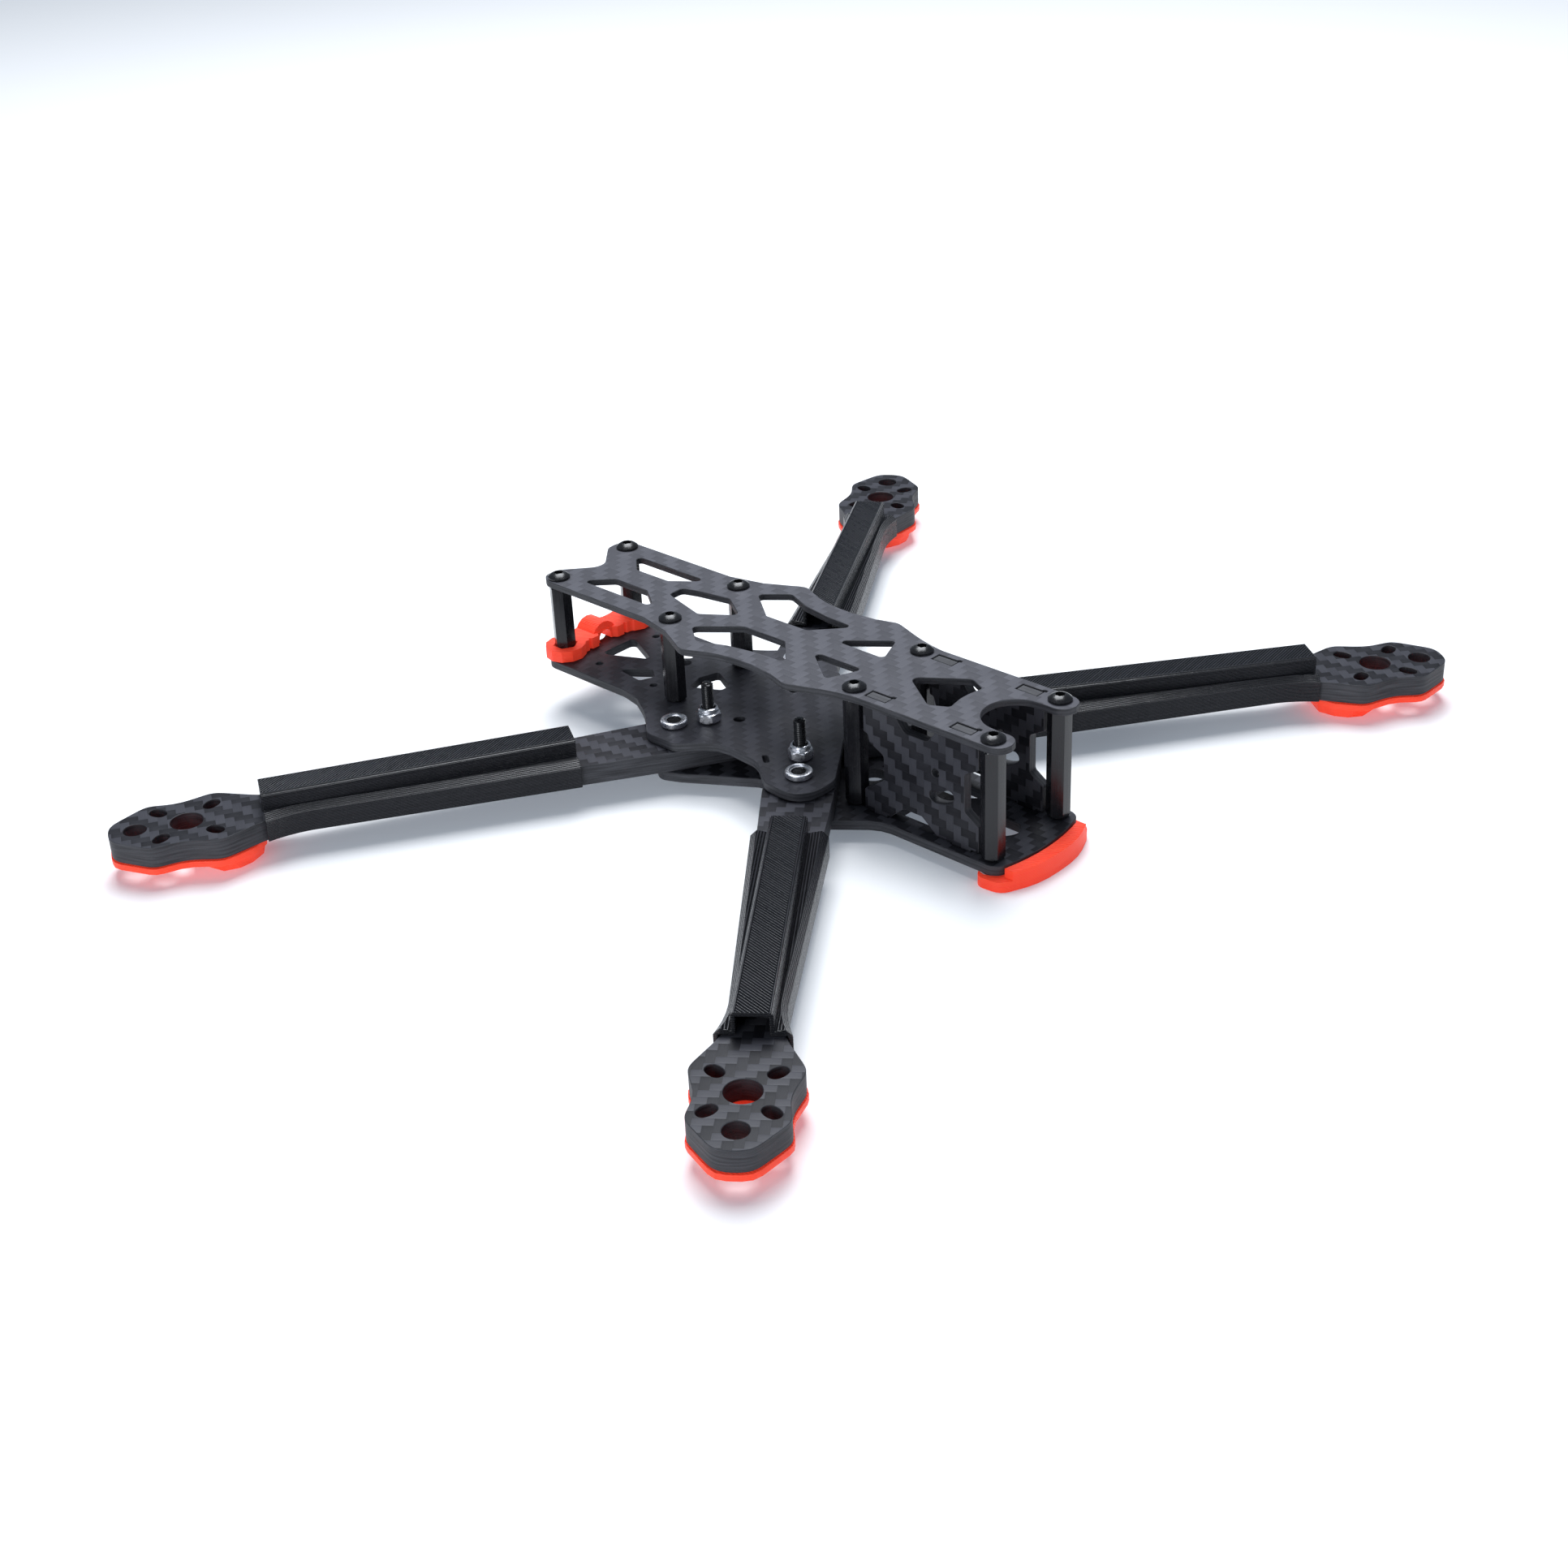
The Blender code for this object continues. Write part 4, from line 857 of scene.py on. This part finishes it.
def ring_stack(name, rings, material):
    """A closed skin through rings of (radius, level, corner reach), the last ring joined to the first."""
    bm = bmesh.new()
    rows = [[bm.verts.new(point) for point in ring_points(*ring)] for ring in rings]
    for row, following in zip(rows, rows[1:] + rows[:1]):
        for index in range(len(row)):
            after = (index + 1) % len(row)
            bm.faces.new((row[index], row[after], following[after], following[index]))
    mesh = bpy.data.meshes.new(name)
    bm.to_mesh(mesh)
    bm.free()
    mesh.materials.append(material)
    return mesh


def copy_tree(name, mesh, material):
    """A tree that copies one ready mesh to every point."""
    part = bpy.data.objects.new(name + "_part", mesh)
    bpy.context.scene.collection.objects.link(part)
    tree = ShapeTree(name)
    shape = tree.node("GeometryNodeObjectInfo", {}, {"Object": part}).out("Geometry")
    tree.finish(shape, material)
    return tree, part


def copy_parts(name, rings, material, slot, prefix, degrees=30.0):
    names, places = bottoms(prefix)
    tree, part = copy_tree(name, ring_stack(name + "_skin", rings, material), material)
    grow(tree, places, name, names, slot, degrees)
    bpy.data.objects.remove(part, do_unlink=True)


# %% Pillars
PILLAR = 2.5
PILLAR_BORE = 1.8
FULL_HEX = 1.145
CUT_HEX = 1.02


def pillar_rings(length):
    """A hexagonal tube whose corners are turned off at both ends."""
    return [(PILLAR_BORE, 0.0, 0.0), (PILLAR - 0.30, 0.0, 0.0), (PILLAR, 0.12, CUT_HEX),
            (PILLAR, 0.42, FULL_HEX), (PILLAR, length - 0.42, FULL_HEX), (PILLAR, length - 0.12, CUT_HEX),
            (PILLAR - 0.30, length, 0.0), (PILLAR_BORE, length, 0.0)]


for end in ("rear", "front"):
    low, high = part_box(f"standoff_{end}_left_1")
    copy_parts(f"{end}_pillars", pillar_rings((high.z - low.z) / MM), anodised, "black_anodised",
               f"standoff_{end}", degrees=14.0)

# %% [markdown]
# ### Nuts
# The press nuts are flanged discs round the end of a screw. The lock nuts are hexagons with bevelled
# corners and a round collar above, which holds a nylon ring.

# %% Nuts
NUT_BORE = 1.78
NUT = 2.75
press_rings = [(NUT_BORE, 0.0, 0.0), (2.3, 0.0, 0.0), (2.3, 1.7, 0.0), (3.15, 1.7, 0.0), (3.3, 1.85, 0.0),
               (3.3, 2.8, 0.0), (3.18, 3.0, 0.0), (2.9, 3.1, 0.0), (2.35, 3.1, 0.0), (2.2, 2.85, 0.0),
               (NUT_BORE, 2.8, 0.0)]
copy_parts("press_nuts", press_rings, zinc, "zinc", "press_nut")
lock_rings = [(NUT_BORE, 0.0, 0.0), (NUT - 0.2, 0.0, 0.0), (NUT, 0.15, 1.03), (NUT, 0.5, FULL_HEX),
              (NUT, 1.95, FULL_HEX), (NUT, 2.3, 1.03), (NUT - 0.2, 2.42, 0.0), (NUT - 0.3, 2.5, 0.0),
              (NUT - 0.22, 2.8, 0.0), (NUT - 0.25, 3.2, 0.0), (NUT - 0.45, 3.55, 0.0), (2.0, 3.7, 0.0),
              (1.85, 3.6, 0.0), (NUT_BORE, 3.4, 0.0)]
copy_parts("lock_nuts", lock_rings, zinc, "zinc", "lock_nut", degrees=14.0)

# %% [markdown]
# ## Stage, light and camera
# The frame stands on a plain white floor under soft, bright light, so the black parts read by their
# reflections and the shadows stay faint. A large soft lamp overhead gives the level faces their sheen, a
# weaker one behind lights the far rims, and one low at the side opens up the upright faces.

# %% Floor and world
FLOOR_REACH = 4.0
FLOOR_GLOW = 0.22
FLOOR_COLOUR = (0.80, 0.79, 0.78, 1.0)
FLOOR_GLOW_COLOUR = (0.76, 0.86, 1.0, 1.0)
WORLD_COLOUR = (0.70, 0.83, 1.0, 1.0)
WORLD_STRENGTH = 0.22
LAMP_COLOUR = (0.93, 0.96, 1.0)
LAMPS = (("overhead", (-0.26, 0.24, 1.0), (0.0, 0.0, 0.0), 0.7, 15.0),
         ("behind", (-0.60, 0.65, 1.1), (0.0, 0.0, 0.0), 0.5, 5.0),
         ("side_fill", (0.25, -0.95, 0.22), (0.0, 0.0, 0.02), 0.5, 4.0))


def make_floor():
    mesh = bpy.data.meshes.new("floor")
    corners = [(-FLOOR_REACH, -FLOOR_REACH, 0.0), (FLOOR_REACH, -FLOOR_REACH, 0.0),
               (FLOOR_REACH, FLOOR_REACH, 0.0), (-FLOOR_REACH, FLOOR_REACH, 0.0)]
    mesh.from_pydata(corners, [], [(0, 1, 2, 3)])
    material, _, shader = new_material("floor_white", roughness=0.9, emission_strength=FLOOR_GLOW)
    shader.inputs["Base Color"].default_value = FLOOR_COLOUR
    shader.inputs["Emission Color"].default_value = FLOOR_GLOW_COLOUR
    mesh.materials.append(material)
    floor = bpy.data.objects.new("floor", mesh)
    bpy.context.scene.collection.objects.link(floor)


def soft_light(name, place, aim, width, power):
    lamp = bpy.data.lights.new(name, "AREA")
    lamp.shape = "SQUARE"
    lamp.size = width
    lamp.energy = power
    lamp.color = LAMP_COLOUR
    thing = bpy.data.objects.new(name, lamp)
    thing.location = place
    thing.rotation_euler = (Vector(aim) - Vector(place)).to_track_quat("-Z", "Y").to_euler()
    bpy.context.scene.collection.objects.link(thing)


make_floor()
scene = bpy.context.scene
scene.world = bpy.data.worlds.new("studio")
scene.world.use_nodes = True
background = scene.world.node_tree.nodes["Background"]
background.inputs["Color"].default_value = WORLD_COLOUR
background.inputs["Strength"].default_value = WORLD_STRENGTH
scene.view_settings.view_transform = "Standard"
for lamp_values in LAMPS:
    soft_light(*lamp_values)
print("stage ready:", len(LAMPS), "lamps")

# %% Camera
LENS = 52.23
CLIP_START = 0.02
CAMERA_PLACE = (0.3356, -0.3577, 0.2722)
CAMERA_TURN = (60.67, 2.38, 42.83)
camera = bpy.data.cameras.new("camera")
camera.lens = LENS
camera.clip_start = CLIP_START
viewer = bpy.data.objects.new("camera", camera)
viewer.location = CAMERA_PLACE
viewer.rotation_euler = [math.radians(angle) for angle in CAMERA_TURN]
scene.collection.objects.link(viewer)
scene.camera = viewer
print("camera", camera.lens, "mm lens")
